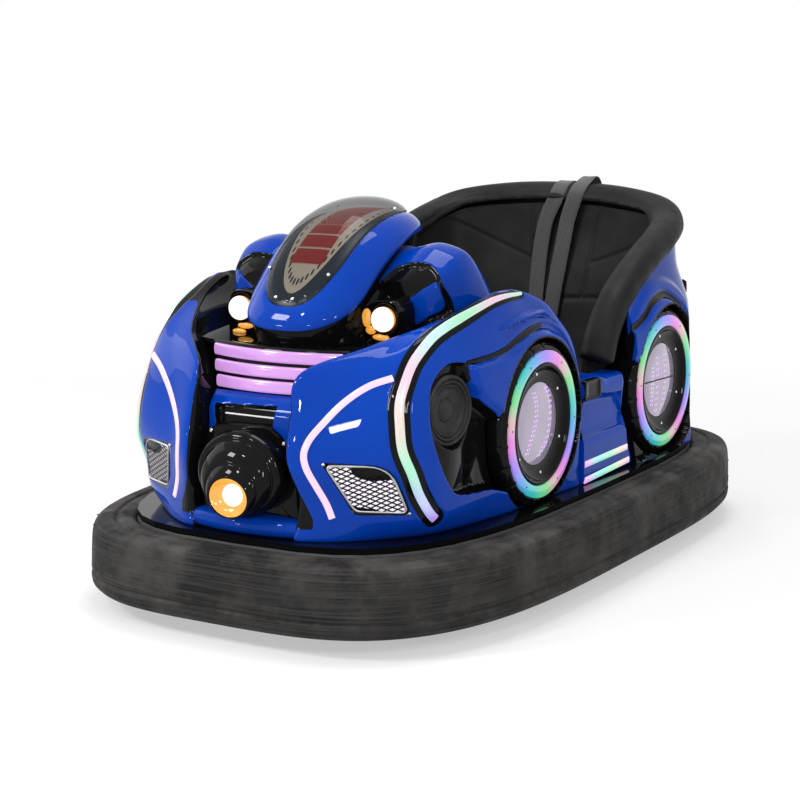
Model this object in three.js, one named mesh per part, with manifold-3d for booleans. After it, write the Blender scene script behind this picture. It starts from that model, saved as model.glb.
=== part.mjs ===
// Battery bumper car: a moulded body on a steel pan inside a rubber bumper ring,
// driven and steered by one wheel in front, with two plain wheels behind.
// Millimetres, +Z up, floor at z = 0, nose towards -Y, the driver's left hand at +X.
import * as THREE from 'three';
import { mergeVertices } from 'three/addons/utils/BufferGeometryUtils.js';
import Module from 'manifold-3d';

const wasm = await Module();
wasm.setup();

// ---------- driving dimensions ----------
const overallLength = 1950;
const overallWidth = 1140;
const fit = 0.3;            // gap between pieces that rest on each other
const runningGap = 6;       // gap beside anything that turns

const tyre = { bottom: 42, top: 206, band: 96, frontPower: 3.45, rearPower: 4.2 };
const pan = { bottom: 100, sheet: 6, rimThick: 10, rimDrop: 22 };
const skirt = { thick: 15, innerWide: 372, innerLong: 800, notch: 4 };
const bodyBottom = 222;     // lower edge of the painted body
const shellWall = 7;
const bodyHalfWidth = 450;
const bodyHalfLength = 885;

const wheelCover = { radius: 197, depth: 56, gap: 8, height: 411, front: -238, rear: 480, face: 437 };
const ringLight = { inset: 22, width: 29, thick: 5, proud: 0.5 };   // inset from the cover's edge
const coverDish = { inset: 67, slope: 22, depth: 30 };              // inset from the cover's edge
const speaker = { radius: 84, thick: 22, gap: 6, floor: 372, y: -612, z: 497 };

const driveWheel = { radius: 80, width: 50, y: -520, bore: 10 };
const turntable = { radius: 128, opening: 108, floor: 184, plate: 8 };
const forkLeg = { thick: 10, width: 44 };
const driveMotor = { radius: 72, height: 120 };
const rearWheel = { radius: 80, width: 46, x: 372, y: 575, bore: 10, slotMargin: 4 };
const axleClear = 0.6;      // running gap on a wheel's pin

const steering = { y: -20, z: 660, radius: 140, grip: 13, hub: 34, lean: 31.4, column: 24, rise: 112 };
const seat = { wall: 24, floor: 300, floorThick: 30, cushion: 92, roll: 43, front: 196 };
const battery = { width: 420, length: 300, height: 176, y: 420 };
const lightStrip = { width: 24, thick: 9, sink: 4 };
const noseStrip = { width: 16, thick: 8, sink: 4 };
const segments = 40;        // round the bumper ring
const sides = 28;           // round turned pieces
const spans = 2;            // steps between two points of an outline
const past = 5;             // how far a cutter runs past the face that it opens

// ---------- small tools ----------
const wide = bodyHalfWidth / 450;
const long = bodyHalfLength / 885;
const point = (x, y, z) => new THREE.Vector3(x * wide, y * long, z);

function rings(list, wrap = false, lace = false) {
  // a closed skin over a run of loops with the same count; the ends get caps unless it wraps
  const count = list[0].length;
  const vertices = list.flat().flatMap((p) => [p.x, p.y, p.z]);
  const faces = [];
  const last = wrap ? list.length : list.length - 1;
  for (let i = 0; i < last; i++) {
    for (let j = 0; j < count; j++) {
      const a = i * count + j;
      const b = i * count + ((j + 1) % count);
      const c = ((i + 1) % list.length) * count + j;
      const d = ((i + 1) % list.length) * count + ((j + 1) % count);
      faces.push(a, b, d, a, d, c);
    }
  }
  if (!wrap) {
    cap(list[0], 0, true, faces, lace);
    cap(list[list.length - 1], (list.length - 1) * count, false, faces, lace);
  }
  const geometry = new THREE.BufferGeometry();
  geometry.setAttribute('position', new THREE.BufferAttribute(Float32Array.from(vertices), 3));
  geometry.setIndex(faces);
  return facingOut(geometry);
}

function laced(count) {
  // triangles across a loop from side to side, like a bootlace
  const triangles = [];
  for (let near = 0, far = count - 1; near + 1 < far; near++, far--) {
    triangles.push([near, near + 1, far]);
    if (near + 1 < far - 1) triangles.push([near + 1, far - 1, far]);
  }
  triangles.inOrder = true;
  return triangles;
}

function cap(loop, start, flip, faces, lace) {
  const normal = new THREE.Vector3();
  loop.forEach((p, i) => normal.add(p.clone().cross(loop[(i + 1) % loop.length])));
  const side = [Math.abs(normal.x), Math.abs(normal.y), Math.abs(normal.z)];
  const drop = side.indexOf(Math.max(...side));
  const flat = loop.map((p) => [
    new THREE.Vector2(p.y, p.z), new THREE.Vector2(p.z, p.x), new THREE.Vector2(p.x, p.y),
  ][drop]);
  const sign = [normal.x, normal.y, normal.z][drop] > 0;
  let triangles = THREE.ShapeUtils.triangulateShape(flat, []);
  if (lace || triangles.length !== loop.length - 2) triangles = laced(loop.length);
  for (const [a, b, c] of triangles) {
    const area = (flat[b].x - flat[a].x) * (flat[c].y - flat[a].y)
      - (flat[c].x - flat[a].x) * (flat[b].y - flat[a].y);
    const same = triangles.inOrder || (area > 0) === sign;
    if (same !== flip) faces.push(start + a, start + b, start + c);
    else faces.push(start + a, start + c, start + b);
  }
}

function volumeOf(geometry) {
  const place = geometry.attributes.position;
  const [a, b, c] = [new THREE.Vector3(), new THREE.Vector3(), new THREE.Vector3()];
  let total = 0;
  for (let i = 0; i < geometry.index.count; i += 3) {
    a.fromBufferAttribute(place, geometry.index.getX(i));
    b.fromBufferAttribute(place, geometry.index.getX(i + 1));
    c.fromBufferAttribute(place, geometry.index.getX(i + 2));
    total += a.dot(b.cross(c)) / 6;
  }
  return total;
}

function facingOut(geometry) {
  if (volumeOf(geometry) > 0) return geometry;
  const index = Array.from(geometry.index.array);
  for (let i = 0; i < index.length; i += 3) [index[i], index[i + 1]] = [index[i + 1], index[i]];
  geometry.setIndex(index);
  return geometry;
}

function solid(geometry) {
  const bare = geometry.clone();
  bare.deleteAttribute('normal');
  bare.deleteAttribute('uv');
  const merged = mergeVertices(bare, 1e-3);
  return new wasm.Manifold(new wasm.Mesh({
    numProp: 3,
    vertProperties: Float32Array.from(merged.attributes.position.array),
    triVerts: Uint32Array.from(merged.index.array),
  }));
}

function skin(body) {
  const mesh = body.getMesh();
  const geometry = new THREE.BufferGeometry();
  geometry.setAttribute('position', new THREE.BufferAttribute(mesh.vertProperties, 3));
  geometry.setIndex(Array.from(mesh.triVerts));
  return geometry;
}

function cleaned(geometry) {
  // welded, with the flat triangles at the poles left out
  const bare = geometry.clone();
  bare.deleteAttribute('normal');
  bare.deleteAttribute('uv');
  const merged = mergeVertices(bare, 1e-3);
  const kept = [];
  for (let i = 0; i < merged.index.count; i += 3) {
    const face = [0, 1, 2].map((k) => merged.index.getX(i + k));
    if (new Set(face).size === 3) kept.push(...face);
  }
  merged.setIndex(kept);
  return merged;
}

const joined = (...bodies) => bodies.reduce((all, next) => all.add(next));

function box(x0, x1, y0, y1, z0, z1) {
  const geometry = new THREE.BoxGeometry(x1 - x0, y1 - y0, z1 - z0);
  geometry.translate((x0 + x1) / 2, (y0 + y1) / 2, (z0 + z1) / 2);
  return solid(geometry);
}

function rod(radius, from, to, sides = 24) {
  const axis = to.clone().sub(from);
  const geometry = new THREE.CylinderGeometry(radius, radius, axis.length(), sides);
  geometry.applyQuaternion(new THREE.Quaternion().setFromUnitVectors(
    new THREE.Vector3(0, 1, 0), axis.clone().normalize()));
  geometry.translate(...from.clone().add(to).multiplyScalar(0.5).toArray());
  return solid(geometry);
}

const vector = (x, y, z) => new THREE.Vector3(x, y, z);
const rodX = (radius, x0, x1, y, z, sides) => rod(radius, vector(x0, y, z), vector(x1, y, z), sides);
const rodZ = (radius, x, y, z0, z1, sides) => rod(radius, vector(x, y, z0), vector(x, y, z1), sides);

function prismX(profile, x0, x1) {
  // a profile of [y, z] points carried straight across the car
  const loops = [x0, x1].map((x) => profile.map(([y, z]) => vector(x, y, z)));
  return solid(rings(loops));
}

function prismZ(outline, z0, z1) {
  const loops = [z0, z1].map((z) => outline.map((p) => vector(p.x, p.y, z)));
  return solid(rings(loops));
}

function mirrored(body) {
  return body.mirror([1, 0, 0]);
}

function smoothLoop(points, perSpan) {
  const curve = new THREE.CatmullRomCurve3(points, true, 'centripetal');
  const count = points.length * perSpan;
  return Array.from({ length: count }, (_, i) => curve.getPoint(i / count));
}

function smoothLine(points, count) {
  const curve = new THREE.CatmullRomCurve3(points, false, 'centripetal');
  return Array.from({ length: count + 1 }, (_, i) => curve.getPoint(i / count));
}

function inset(loop, distance, open = false) {
  // each point steps inwards, square to the line through its neighbours
  return loop.map((p, i) => {
    const before = open && i === 0 ? p : loop[(i + loop.length - 1) % loop.length];
    const after = open && i === loop.length - 1 ? p : loop[(i + 1) % loop.length];
    const along = new THREE.Vector2(after.x - before.x, after.y - before.y).normalize();
    return vector(p.x - along.y * distance, p.y + along.x * distance, p.z);
  });
}

function ovalPlan(halfWidth, halfLength, z, count = segments) {
  // |x/a|^n + |y/b|^n = 1, squarer at the tail than at the nose
  return Array.from({ length: count }, (_, i) => {
    const angle = (i / count) * Math.PI * 2;
    const [c, s] = [Math.cos(angle), Math.sin(angle)];
    const power = s < 0 ? tyre.frontPower : tyre.rearPower;
    return vector(Math.sign(c) * halfWidth * Math.abs(c) ** (2 / power),
      Math.sign(s) * halfLength * Math.abs(s) ** (2 / power), z);
  });
}

const group = new THREE.Group();
function add(name, body, colour, roughness = 0.5, metalness = 0, extra = {}) {
  const geometry = body.isBufferGeometry ? body : skin(body);
  const material = new THREE.MeshStandardMaterial({ color: colour, roughness, metalness, ...extra });
  const mesh = new THREE.Mesh(geometry, material);
  mesh.name = name;
  group.add(mesh);
  return mesh;
}

function surfaceAt(mesh, from, toward) {
  // where a line from inside meets the outer face of a shell
  mesh.material.side = THREE.DoubleSide;
  const ray = new THREE.Raycaster(toward.clone().addScaledVector(toward.clone().sub(from), 3),
    from.clone().sub(toward).normalize());
  return ray.intersectObject(mesh)[0].point;
}

function ribbon(path, centre, width, outer, inner) {
  // a flat bar along a path; its face looks away from the centre
  const loops = path.map((p, i) => {
    const along = path[Math.min(i + 1, path.length - 1)].clone()
      .sub(path[Math.max(i - 1, 0)]).normalize();
    const out = p.clone().sub(centre);
    out.addScaledVector(along, -out.dot(along)).normalize();
    const side = along.clone().cross(out);
    return [[-1, inner], [1, inner], [1, outer], [-1, outer]].map(([s, h]) => p.clone()
      .addScaledVector(side, s * width / 2).addScaledVector(out, h));
  });
  return solid(rings(loops));
}

const blue = 0x0a3fc4;
const black = 0x0b0b0d;
const rubber = 0x2b2a29;
const steel = 0x5c5f63;

// ---------- bumper ring, pan and skirt ----------
const halfWidth = overallWidth / 2;
const halfLength = overallLength / 2;
const tyreProfile = [[0, 66], [4, 180], [14, 198], [34, tyre.top], [tyre.band - 10, tyre.top - 3],
  [tyre.band, tyre.top - 14], [tyre.band, tyre.bottom + 12], [tyre.band - 12, tyre.bottom],
  [26, tyre.bottom], [8, tyre.bottom + 8]];
add('bumper_tyre', rings(tyreProfile.map(([step, z]) =>
  ovalPlan(halfWidth - step, halfLength - step, z, segments)), true), rubber, 0.85);

const rimWide = halfWidth - tyre.band - fit;
const rimLong = halfLength - tyre.band - fit;
const rimBottom = tyre.bottom + pan.rimDrop;
const rimTop = bodyBottom - skirt.thick - 2 * fit;
const rimInside = ovalPlan(rimWide - pan.rimThick, rimLong - pan.rimThick, 0);
add('pan_rim', prismZ(ovalPlan(rimWide, rimLong, 0), rimBottom, rimTop)
  .subtract(prismZ(rimInside, rimBottom - past, rimTop + past)), steel, 0.55, 0.6);

// the pan lies inside the rim, with a raised ring for the turntable and a slot for each rear wheel
const panTop = pan.bottom + pan.sheet;
const panPlan = ovalPlan(rimWide - pan.rimThick - fit, rimLong - pan.rimThick - fit, 0);
const slotHalf = rearWheel.width / 2 + runningGap + rearWheel.slotMargin;
const slotLong = rearWheel.radius + runningGap + rearWheel.slotMargin;
let panBody = prismZ(panPlan, pan.bottom, panTop)
  .add(rodZ(turntable.radius, 0, driveWheel.y, pan.bottom, turntable.floor, sides))
  .subtract(rodZ(turntable.opening, 0, driveWheel.y, pan.bottom - past, turntable.floor + past, sides));
for (const side of [-1, 1]) {
  const x = side * rearWheel.x;
  panBody = panBody.subtract(box(x - slotHalf, x + slotHalf,
    rearWheel.y - slotLong, rearWheel.y + slotLong, pan.bottom - past, panTop + past));
}
add('chassis_pan', panBody, steel, 0.55, 0.6);

const skirtTop = bodyBottom - fit;

// ---------- front body ----------
// each level of the fender: nose edge, cheek, front corner, side, sill end, inner wall
const fenderLevels = [
  [222, [134, -841], [209, -813], [322, -705], [362, -640], [410, -402], [424, -118], [424, 42],
    [334, 44], [300, -300], [140, -690]],
  [262, [140, -838], [212, -812], [366, -702], [396, -640], [422, -402], [430, -118], [424, 44],
    [334, 46], [300, -300], [140, -690]],
  [310, [146, -838], [208, -812], [385, -690], [408, -625], [427, -402], [431, -118], [425, 47],
    [334, 48], [300, -300], [140, -690]],
  [405, [131, -864], [203, -834], [370, -745], [410, -650], [429, -402], [432, -118], [425, 49],
    [334, 50], [300, -300], [140, -700]],
  [500, [130, -844], [206, -816], [352, -752], [398, -660], [426, -410], [431, -118], [422, 40],
    [334, 40], [305, -300], [142, -710]],
  [590, [137, -812], [236, -774], [342, -716], [388, -600], [418, -400], [425, -118], [408, 0],
    [340, 0], [320, -300], [190, -722]],
  [640, [240, -704], [290, -692], [342, -674], [384, -560], [410, -380], [414, -170], [400, -62],
    [352, -62], [342, -330], [262, -650]],
  [690, [335, -530], [345, -562], [360, -582], [385, -500], [405, -380], [406, -270], [400, -168],
    [374, -168], [368, -330], [345, -500]],
  [728, [372, -402], [379, -432], [388, -440], [396, -420], [404, -370], [405, -330], [402, -290],
    [388, -288], [384, -340], [374, -384]],
];

function levelLoops(levels, perSpan) {
  return levels.map(([z, ...points]) => smoothLoop(points.map(([x, y]) => point(x, y, z)), perSpan));
}

const openBelow = 60;       // how far the room of a shell runs out below its lower edge
function hollowed(levels, perSpan, wall, topLevel) {
  // the skin of a stack of levels, and the room inside it, which is open below
  const loops = levelLoops(levels, perSpan);
  const used = loops.filter((_, i) => i === 0 || (i <= topLevel && i % 2 === topLevel % 2));
  const inner = used.map((loop) => inset(loop, wall).map((p) => vector(p.x, p.y, p.z - wall)));
  const drop = inner[0].map((p) => vector(p.x, p.y, p.z - openBelow));
  return [solid(rings(loops)), solid(rings([drop, ...inner]))];
}

const coverPlace = (name) => ({ y: wheelCover[name] * long, z: wheelCover.height });
const coverBack = wheelCover.face * wide - wheelCover.depth;
function wheelRecess(name, radius, floor) {
  const { y, z } = coverPlace(name);
  return rodX(radius, floor, floor + 400, y, z, sides);
}

const fenderBlank = solid(rings(levelLoops(fenderLevels, spans)));
let [fender, fenderRoom] = hollowed(fenderLevels, spans, shellWall, 7);
const pocketRadius = wheelCover.radius + wheelCover.gap;
fender = fender.subtract(wheelRecess('front', pocketRadius, coverBack));
fenderRoom = fenderRoom.subtract(wheelRecess('front', pocketRadius + shellWall, coverBack - shellWall));
const speakerAt = { y: speaker.y * long, floor: speaker.floor * wide };
const speakerPocket = (grow, floor) => rodX(speaker.radius + speaker.gap + grow, floor, floor + 300,
  speakerAt.y, speaker.z, sides);
fender = fender.subtract(speakerPocket(0, speakerAt.floor));
fenderRoom = fenderRoom.subtract(speakerPocket(shellWall, speakerAt.floor - shellWall));

let fenderShell = fender.subtract(fenderRoom);
const fenderProbe = new THREE.Mesh(skin(fenderShell), new THREE.MeshBasicMaterial());

// the lip that closes the nose below, between the fenders
const lip = { top: 262, front: -858, corner: -841, back: -770, flat: 60, half: 134 };
const lipPlan = [[-lip.half, lip.corner], [-lip.flat, lip.front], [lip.flat, lip.front],
  [lip.half, lip.corner], [lip.half, lip.back], [-lip.half, lip.back]].map(([x, y]) => point(x, y, 0));
add('nose_lip', prismZ(lipPlan, bodyBottom, lip.top)
  .subtract(fenderBlank.translate([-fit, 0, 0]))
  .subtract(mirrored(fenderBlank).translate([fit, 0, 0])), blue, 0.18, 0.1);

// light strips let into the fenders
const fenderHeart = point(200, -330, 470);
const fenderArc = [[404, -330, 745], [388, -424, 730], [376, -500, 712], [356, -592, 683],
  [342, -675, 637], [342, -726, 579], [349, -750, 518], [359, -754, 454], [374, -739, 387],
  [385, -705, 316], [392, -680, 275]];
const noseArc = [[318, -728, 580], [275, -753, 562], [235, -788, 530], [203, -821, 490],
  [176, -846, 448], [168, -850, 420], [172, -850, 392], [185, -832, 351], [204, -812, 300], [212, -806, 276]];
const noseHeart = point(60, -300, 430);

function seated(route, heart, count) {
  const line = smoothLine(route.map(([x, y, z]) => point(x, y, z)), count);
  return line.map((p) => surfaceAt(fenderProbe, heart, p));
}
const fenderPath = seated(fenderArc, fenderHeart, 14);
const nosePath = seated(noseArc, noseHeart, 11);
const strips = [
  ['fender_light', fenderPath, fenderHeart, lightStrip, 0xd8fff0],
  ['nose_light', nosePath, noseHeart, noseStrip, 0xffc8e8],
];
for (const [name, path, heart, size, colour] of strips) {
  const slot = ribbon(path, heart, size.width + 2 * fit, size.thick * 2, -size.sink - fit);
  const bar = ribbon(path.slice(1, -1), heart, size.width, size.thick - size.sink, -size.sink);
  fenderShell = fenderShell.subtract(slot);
  add(`${name}_left`, bar, colour, 0.3, 0, { emissive: colour, emissiveIntensity: 0.6 });
  add(`${name}_right`, mirrored(bar), colour, 0.3, 0, { emissive: colour, emissiveIntensity: 0.6 });
}

// mesh grilles let into the lower corners of the nose
const grille = { thick: 8, sink: 5 };
const grilleCorners = [[208, -828, 396], [330, -765, 393], [352, -722, 286], [258, -790, 286]];
function grilleBlock(grow, outer, inner) {
  const heart = noseHeart;
  const corners = grilleCorners.map(([x, y, z]) => surfaceAt(fenderProbe, heart, point(x, y, z)));
  const middle = corners.reduce((sum, p) => sum.add(p), vector(0, 0, 0)).multiplyScalar(0.25);
  const normal = corners[1].clone().sub(corners[3]).cross(corners[2].clone().sub(corners[0])).normalize();
  if (normal.y > 0) normal.negate();
  return solid(rings([inner, outer].map((height) => corners.map((p) => {
    const away = p.clone().sub(middle);
    const flat = away.addScaledVector(normal, -away.dot(normal));
    return middle.clone().add(flat).addScaledVector(flat.clone().normalize(), grow)
      .addScaledVector(normal, height);
  }))));
}
const grillePocket = grilleBlock(1, 40, -grille.sink - fit);
fenderShell = fenderShell.subtract(grillePocket);
const grillePlate = grilleBlock(0, grille.thick - grille.sink, -grille.sink);
add('corner_grille_left', grillePlate, 0xbfc2c6, 0.4, 0.6);
add('corner_grille_right', mirrored(grillePlate), 0xbfc2c6, 0.4, 0.6);
add('fender_left', fenderShell, blue, 0.18, 0.1);
add('fender_right', mirrored(fenderShell), blue, 0.18, 0.1);

const skirtPlan = (outer, inner, z0, z1) => prismZ(outer, z0, z1).subtract(prismZ(inner, z0 - 5, z1 + 5));
let skirtBody = skirtPlan(ovalPlan(rimWide, rimLong, 0),
  ovalPlan(skirt.innerWide * wide, skirt.innerLong * long, 0), skirtTop - skirt.thick, skirtTop);
for (const name of ['front', 'rear']) {
  const { y, z } = coverPlace(name);
  const notch = rodX(wheelCover.radius + skirt.notch, coverBack - 1, wheelCover.face * wide + skirt.notch, y, z, sides);
  skirtBody = skirtBody.subtract(notch).subtract(mirrored(notch));
}
add('skirt_panel', skirtBody, black, 0.6);

// ---------- speakers ----------
const speakerBody = rodX(speaker.radius, speakerAt.floor + fit, speakerAt.floor + fit + speaker.thick,
  speakerAt.y, speaker.z, sides)
  .subtract(rodX(speaker.radius - 14, speakerAt.floor + 12, speakerAt.floor + 60, speakerAt.y, speaker.z, sides));
add('speaker_left', speakerBody, 0x151517, 0.7);
add('speaker_right', mirrored(speakerBody), 0x151517, 0.7);

// ---------- centre of the nose ----------
function thickLine(points, thickness) {
  // a bent strip in profile: the line itself, then its twin one thickness to the right of travel
  const twin = points.map(([y, z], i) => {
    const [ay, az] = points[Math.max(i - 1, 0)];
    const [by, bz] = points[Math.min(i + 1, points.length - 1)];
    const length = Math.hypot(by - ay, bz - az);
    return [y + (bz - az) / length * thickness, z - (by - ay) / length * thickness];
  });
  return [...points, ...twin.reverse()];
}
const alongY = (list) => list.map(([y, z]) => [y * long, z]);

const nosePanel = { halfWidth: 117, face: -802, shelf: -764, sheet: 8, top: 512, rise: 6 };
const noseFoot = lip.top + fit;
const noseProfile = alongY([[nosePanel.face, noseFoot], [nosePanel.face, nosePanel.top],
  [nosePanel.shelf, nosePanel.top + nosePanel.rise], [nosePanel.shelf, nosePanel.top + nosePanel.rise
    - nosePanel.sheet], [nosePanel.face + nosePanel.sheet, nosePanel.top - nosePanel.sheet],
  [nosePanel.face + nosePanel.sheet, noseFoot]]);
add('nose_panel', prismX(noseProfile, -nosePanel.halfWidth * wide, nosePanel.halfWidth * wide), blue, 0.2);

// three bowed light bars on one back plate
const bars = [
  { y: -737, z: 604, half: 172 }, { y: -755, z: 572, half: 152 }, { y: -771, z: 541, half: 132 },
];
const bar = { height: 27, depth: 20, bow: 45, span: 195, stations: 8 };
const bowAt = (x) => bar.bow * (x / (bar.span * wide)) ** 2;
const lightBars = bars.map(({ y, z, half }) => {
  const loops = Array.from({ length: bar.stations + 1 }, (_, i) => {
    const x = (i / bar.stations * 2 - 1) * half * wide;
    const face = y * long + bowAt(x);
    return [[face, z - bar.height / 2 + 3], [face, z + bar.height / 2 - 3], [face + 4, z + bar.height / 2],
      [face + bar.depth, z + bar.height / 2], [face + bar.depth, z - bar.height / 2],
      [face + 4, z - bar.height / 2]].map(([py, pz]) => vector(x, py, pz));
  });
  return solid(rings(loops));
});
const barBack = { half: 122, sheet: 14 };
const backProfile = thickLine(alongY([[-752, 527], [-715, 617]]), barBack.sheet);
add('grille_light', joined(...lightBars, prismX(backProfile, -barBack.half * wide, barBack.half * wide)),
  0xf2b6f2, 0.3, 0, { emissive: 0xf2b6f2, emissiveIntensity: 0.6 });

// round lamp housing of nested rings that step down towards the lamp
const housingSteps = [[-802 - fit, 98, 366], [-838, 98, 366], [-852, 90, 362], [-862, 78, 352],
  [-884, 70, 342], [-906, 46, 322], [-912, 36, 320]];
const noseLamp = { radius: 27, z: 320, face: -896, back: -884 };
const housingLoops = housingSteps.map(([y, radius, z]) => Array.from({ length: sides }, (_, i) => {
  const angle = i / sides * Math.PI * 2;
  return vector(radius * Math.cos(angle), y * long, z + radius * Math.sin(angle));
}));
const rodY = (radius, y0, y1, x, z, sides = 28) => rod(radius, vector(x, y0, z), vector(x, y1, z), sides);
const lampHousing = solid(rings(housingLoops))
  .subtract(rodY(noseLamp.radius + fit, -990 * long, noseLamp.back * long, 0, noseLamp.z));
add('nose_lamp_housing', lampHousing, black, 0.15);
add('nose_lamp', rodY(noseLamp.radius, noseLamp.face * long, noseLamp.back * long - fit, 0, noseLamp.z),
  0xffe2a8, 0.2, 0, { emissive: 0xffd890, emissiveIntensity: 0.9 });

// ---------- deck, cowl and headlamps ----------
const deck = { bottom: 612, top: 622 };
const deckFront = bars[0].y * long + bowAt(bars[0].half * wide) + bar.depth + fit;
const deckPlan = [vector(-190 * wide, deckFront, 0), vector(190 * wide, deckFront, 0), point(340, -620, 0),
  point(350, -172, 0), point(-350, -172, 0), point(-340, -620, 0)];
const deckBody = prismZ(deckPlan, deck.bottom, deck.top)
  .subtract(fenderBlank.translate([-fit, 0, 0]))
  .subtract(mirrored(fenderBlank).translate([fit, 0, 0]));
add('hood_deck', deckBody, black, 0.15);

const cowlFoot = deck.top + fit;
const cowlSections = [
  [-655, [52, cowlFoot], [54, 644], [40, 658], [18, 662]],
  [-600, [122, cowlFoot], [122, 660], [88, 688], [40, 694]],
  [-520, [146, cowlFoot], [146, 712], [112, 742], [50, 752]],
  [-452, [146, cowlFoot], [146, 738], [116, 768], [50, 778]],
];
const podSections = [
  [-470, [276, cowlFoot], [282, 690], [274, 764], [214, 784], [150, 770], [40, 784]],
  [-395, [298, cowlFoot], [326, 700], [296, 806], [224, 832], [150, 815], [50, 822]],
  [-345, [306, cowlFoot], [334, 696], [294, 812], [224, 836], [150, 822], [50, 834]],
  [-262, [318, cowlFoot], [332, 664], [306, 716], [226, 772], [150, 796], [50, 824]],
  [-176, [322, cowlFoot], [316, 636], [296, 652], [220, 700], [150, 742], [50, 786]],
];
function crossLoops(sections) {
  return sections.map(([y, ...half]) => [
    ...half.map(([x, z]) => point(-x, y, z)),
    ...half.slice().reverse().map(([x, z]) => point(x, y, z)),
  ]);
}
function insetAcross(loop, distance) {
  const flat = inset(loop.map((p) => vector(p.x, p.z, 0)), distance);
  return flat.map((p, i) => vector(p.x, loop[i].y, p.y));
}
function crossShell(sections, wall) {
  const loops = crossLoops(sections);
  const body = solid(rings(loops));
  const room = loops.map((loop) => insetAcross(loop, -wall).map((p, i, all) => {
    const foot = i === 0 || i === all.length - 1;
    return vector(p.x, p.y, foot ? p.z - 40 : p.z);
  }));
  room[0] = room[0].map((p) => vector(p.x, p.y + wall, p.z));
  room[room.length - 1] = room[room.length - 1].map((p) => vector(p.x, p.y - wall, p.z));
  return [body, solid(rings(room))];
}
const [throat, throatRoom] = crossShell(cowlSections, shellWall);
const [pods, podRoom] = crossShell(podSections, shellWall);
const cowlBlank = throat.add(pods);
const cowl = cowlBlank.subtract(throatRoom).subtract(podRoom);
add('cowl_shell', cowl, blue, 0.18, 0.1);

// ---------- dome: a collar, a display panel and a smoked cover ----------
const heightLine = (list) => {
  const curve = new THREE.CatmullRomCurve3(list.map(([y, z]) => point(0, y, z)), false, 'centripetal');
  const samples = curve.getPoints(80);
  return (y) => {
    const i = Math.min(Math.max(samples.findIndex((p) => p.y > y), 1), samples.length - 1);
    const t = (y - samples[i - 1].y) / (samples[i].y - samples[i - 1].y);
    return samples[i - 1].z + t * (samples[i].z - samples[i - 1].z);
  };
};
const domeEdgeHeight = heightLine([[-690, 690], [-665, 716], [-600, 778], [-500, 850], [-400, 886],
  [-300, 896], [-200, 886], [-120, 862]]);
const collarHeight = heightLine([[-720, 664], [-685, 676], [-600, 718], [-500, 796], [-400, 846],
  [-300, 866], [-200, 862], [-90, 838]]);
const dome = { middle: -426, half: 246, width: 96, rise: 42, sheet: 4, count: 24, taper: 0.16 };
const collar = { half: 268, width: 148, drop: 14, lap: 26 };
function eggLoop(halfWide, halfLong, height, dz = 0) {
  return Array.from({ length: dome.count }, (_, i) => {
    const angle = (i / dome.count) * Math.PI * 2 - Math.PI / 2;
    const taper = 1 - dome.taper * Math.sin(angle);
    const y = (dome.middle + halfLong * Math.sin(angle)) * long;
    return vector(halfWide * wide * taper * Math.cos(angle), y, height(y) + dz);
  });
}
const collarLoops = [
  eggLoop(collar.width, collar.half, collarHeight, -collar.drop),
  eggLoop(collar.width, collar.half, collarHeight),
  eggLoop(dome.width, dome.half, domeEdgeHeight),
  eggLoop(dome.width, dome.half, domeEdgeHeight, -collar.lap),
];
const neck = { width: 116, half: 218, deep: 60, rise: 8 };
const neckLoops = [-neck.deep, neck.rise].map((dz) => eggLoop(neck.width, neck.half, collarHeight, dz));
const neckBody = solid(rings(neckLoops, false, true)).subtract(cowlBlank.translate([0, 0, fit]));
const collarBody = solid(rings(collarLoops, true)).add(neckBody);
add('dome_collar', collarBody, blue, 0.18, 0.1);

function domeCap(shrink, lower) {
  const steps = [1, 0.98, 0.9, 0.72, 0.4];
  const loops = steps.map((share) => eggLoop((dome.width - shrink) * share, (dome.half - shrink) * share,
    domeEdgeHeight, dome.rise * Math.sqrt(1 - share * share) - lower));
  return solid(rings([loops[0].map((p) => vector(p.x, p.y, p.z - 5)), ...loops], false, true));
}
const domeRoom = domeCap(dome.sheet + fit, dome.sheet);
const domeBody = domeCap(fit, 0).subtract(domeRoom).subtract(domeRoom.translate([0, 0, -12]));
add('dome_cover', domeBody, 0x202226, 0.05, 0, { transparent: true, opacity: 0.55 });
const panelLoops = [-10, -5 - fit].map((dz) => eggLoop(dome.width - fit, dome.half - fit, domeEdgeHeight, dz));
add('display_panel', solid(rings(panelLoops, false, true)), 0x14181c, 0.4);

const headlamp = { x: 196, z: 688, lens: 27, bezel: 34, front: -578, block: [156, 240, -560, -478, 736] };
function headlampBody() {
  const [x0, x1, y0, y1, top] = headlamp.block;
  const loops = [[deck.top + fit, 0], [top - 18, 0], [top, 12]].map(([z, step]) => [
    point(x0 + step, y0 + step, z), point(x1 - step, y0 + step, z),
    point(x1 - step, y1 - step, z), point(x0 + step, y1 - step, z)]);
  const x = headlamp.x * wide;
  return solid(rings(loops))
    .add(rodY(headlamp.bezel, headlamp.front * long, y0 * long + 20, x, headlamp.z))
    .subtract(rodY(headlamp.lens + 3, (headlamp.front - 20) * long, headlamp.front * long + 8, x, headlamp.z));
}
add('headlamp_left', headlampBody(), 0xffe6b0, 0.2);
add('headlamp_right', mirrored(headlampBody()), 0xffe6b0, 0.2);

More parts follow.
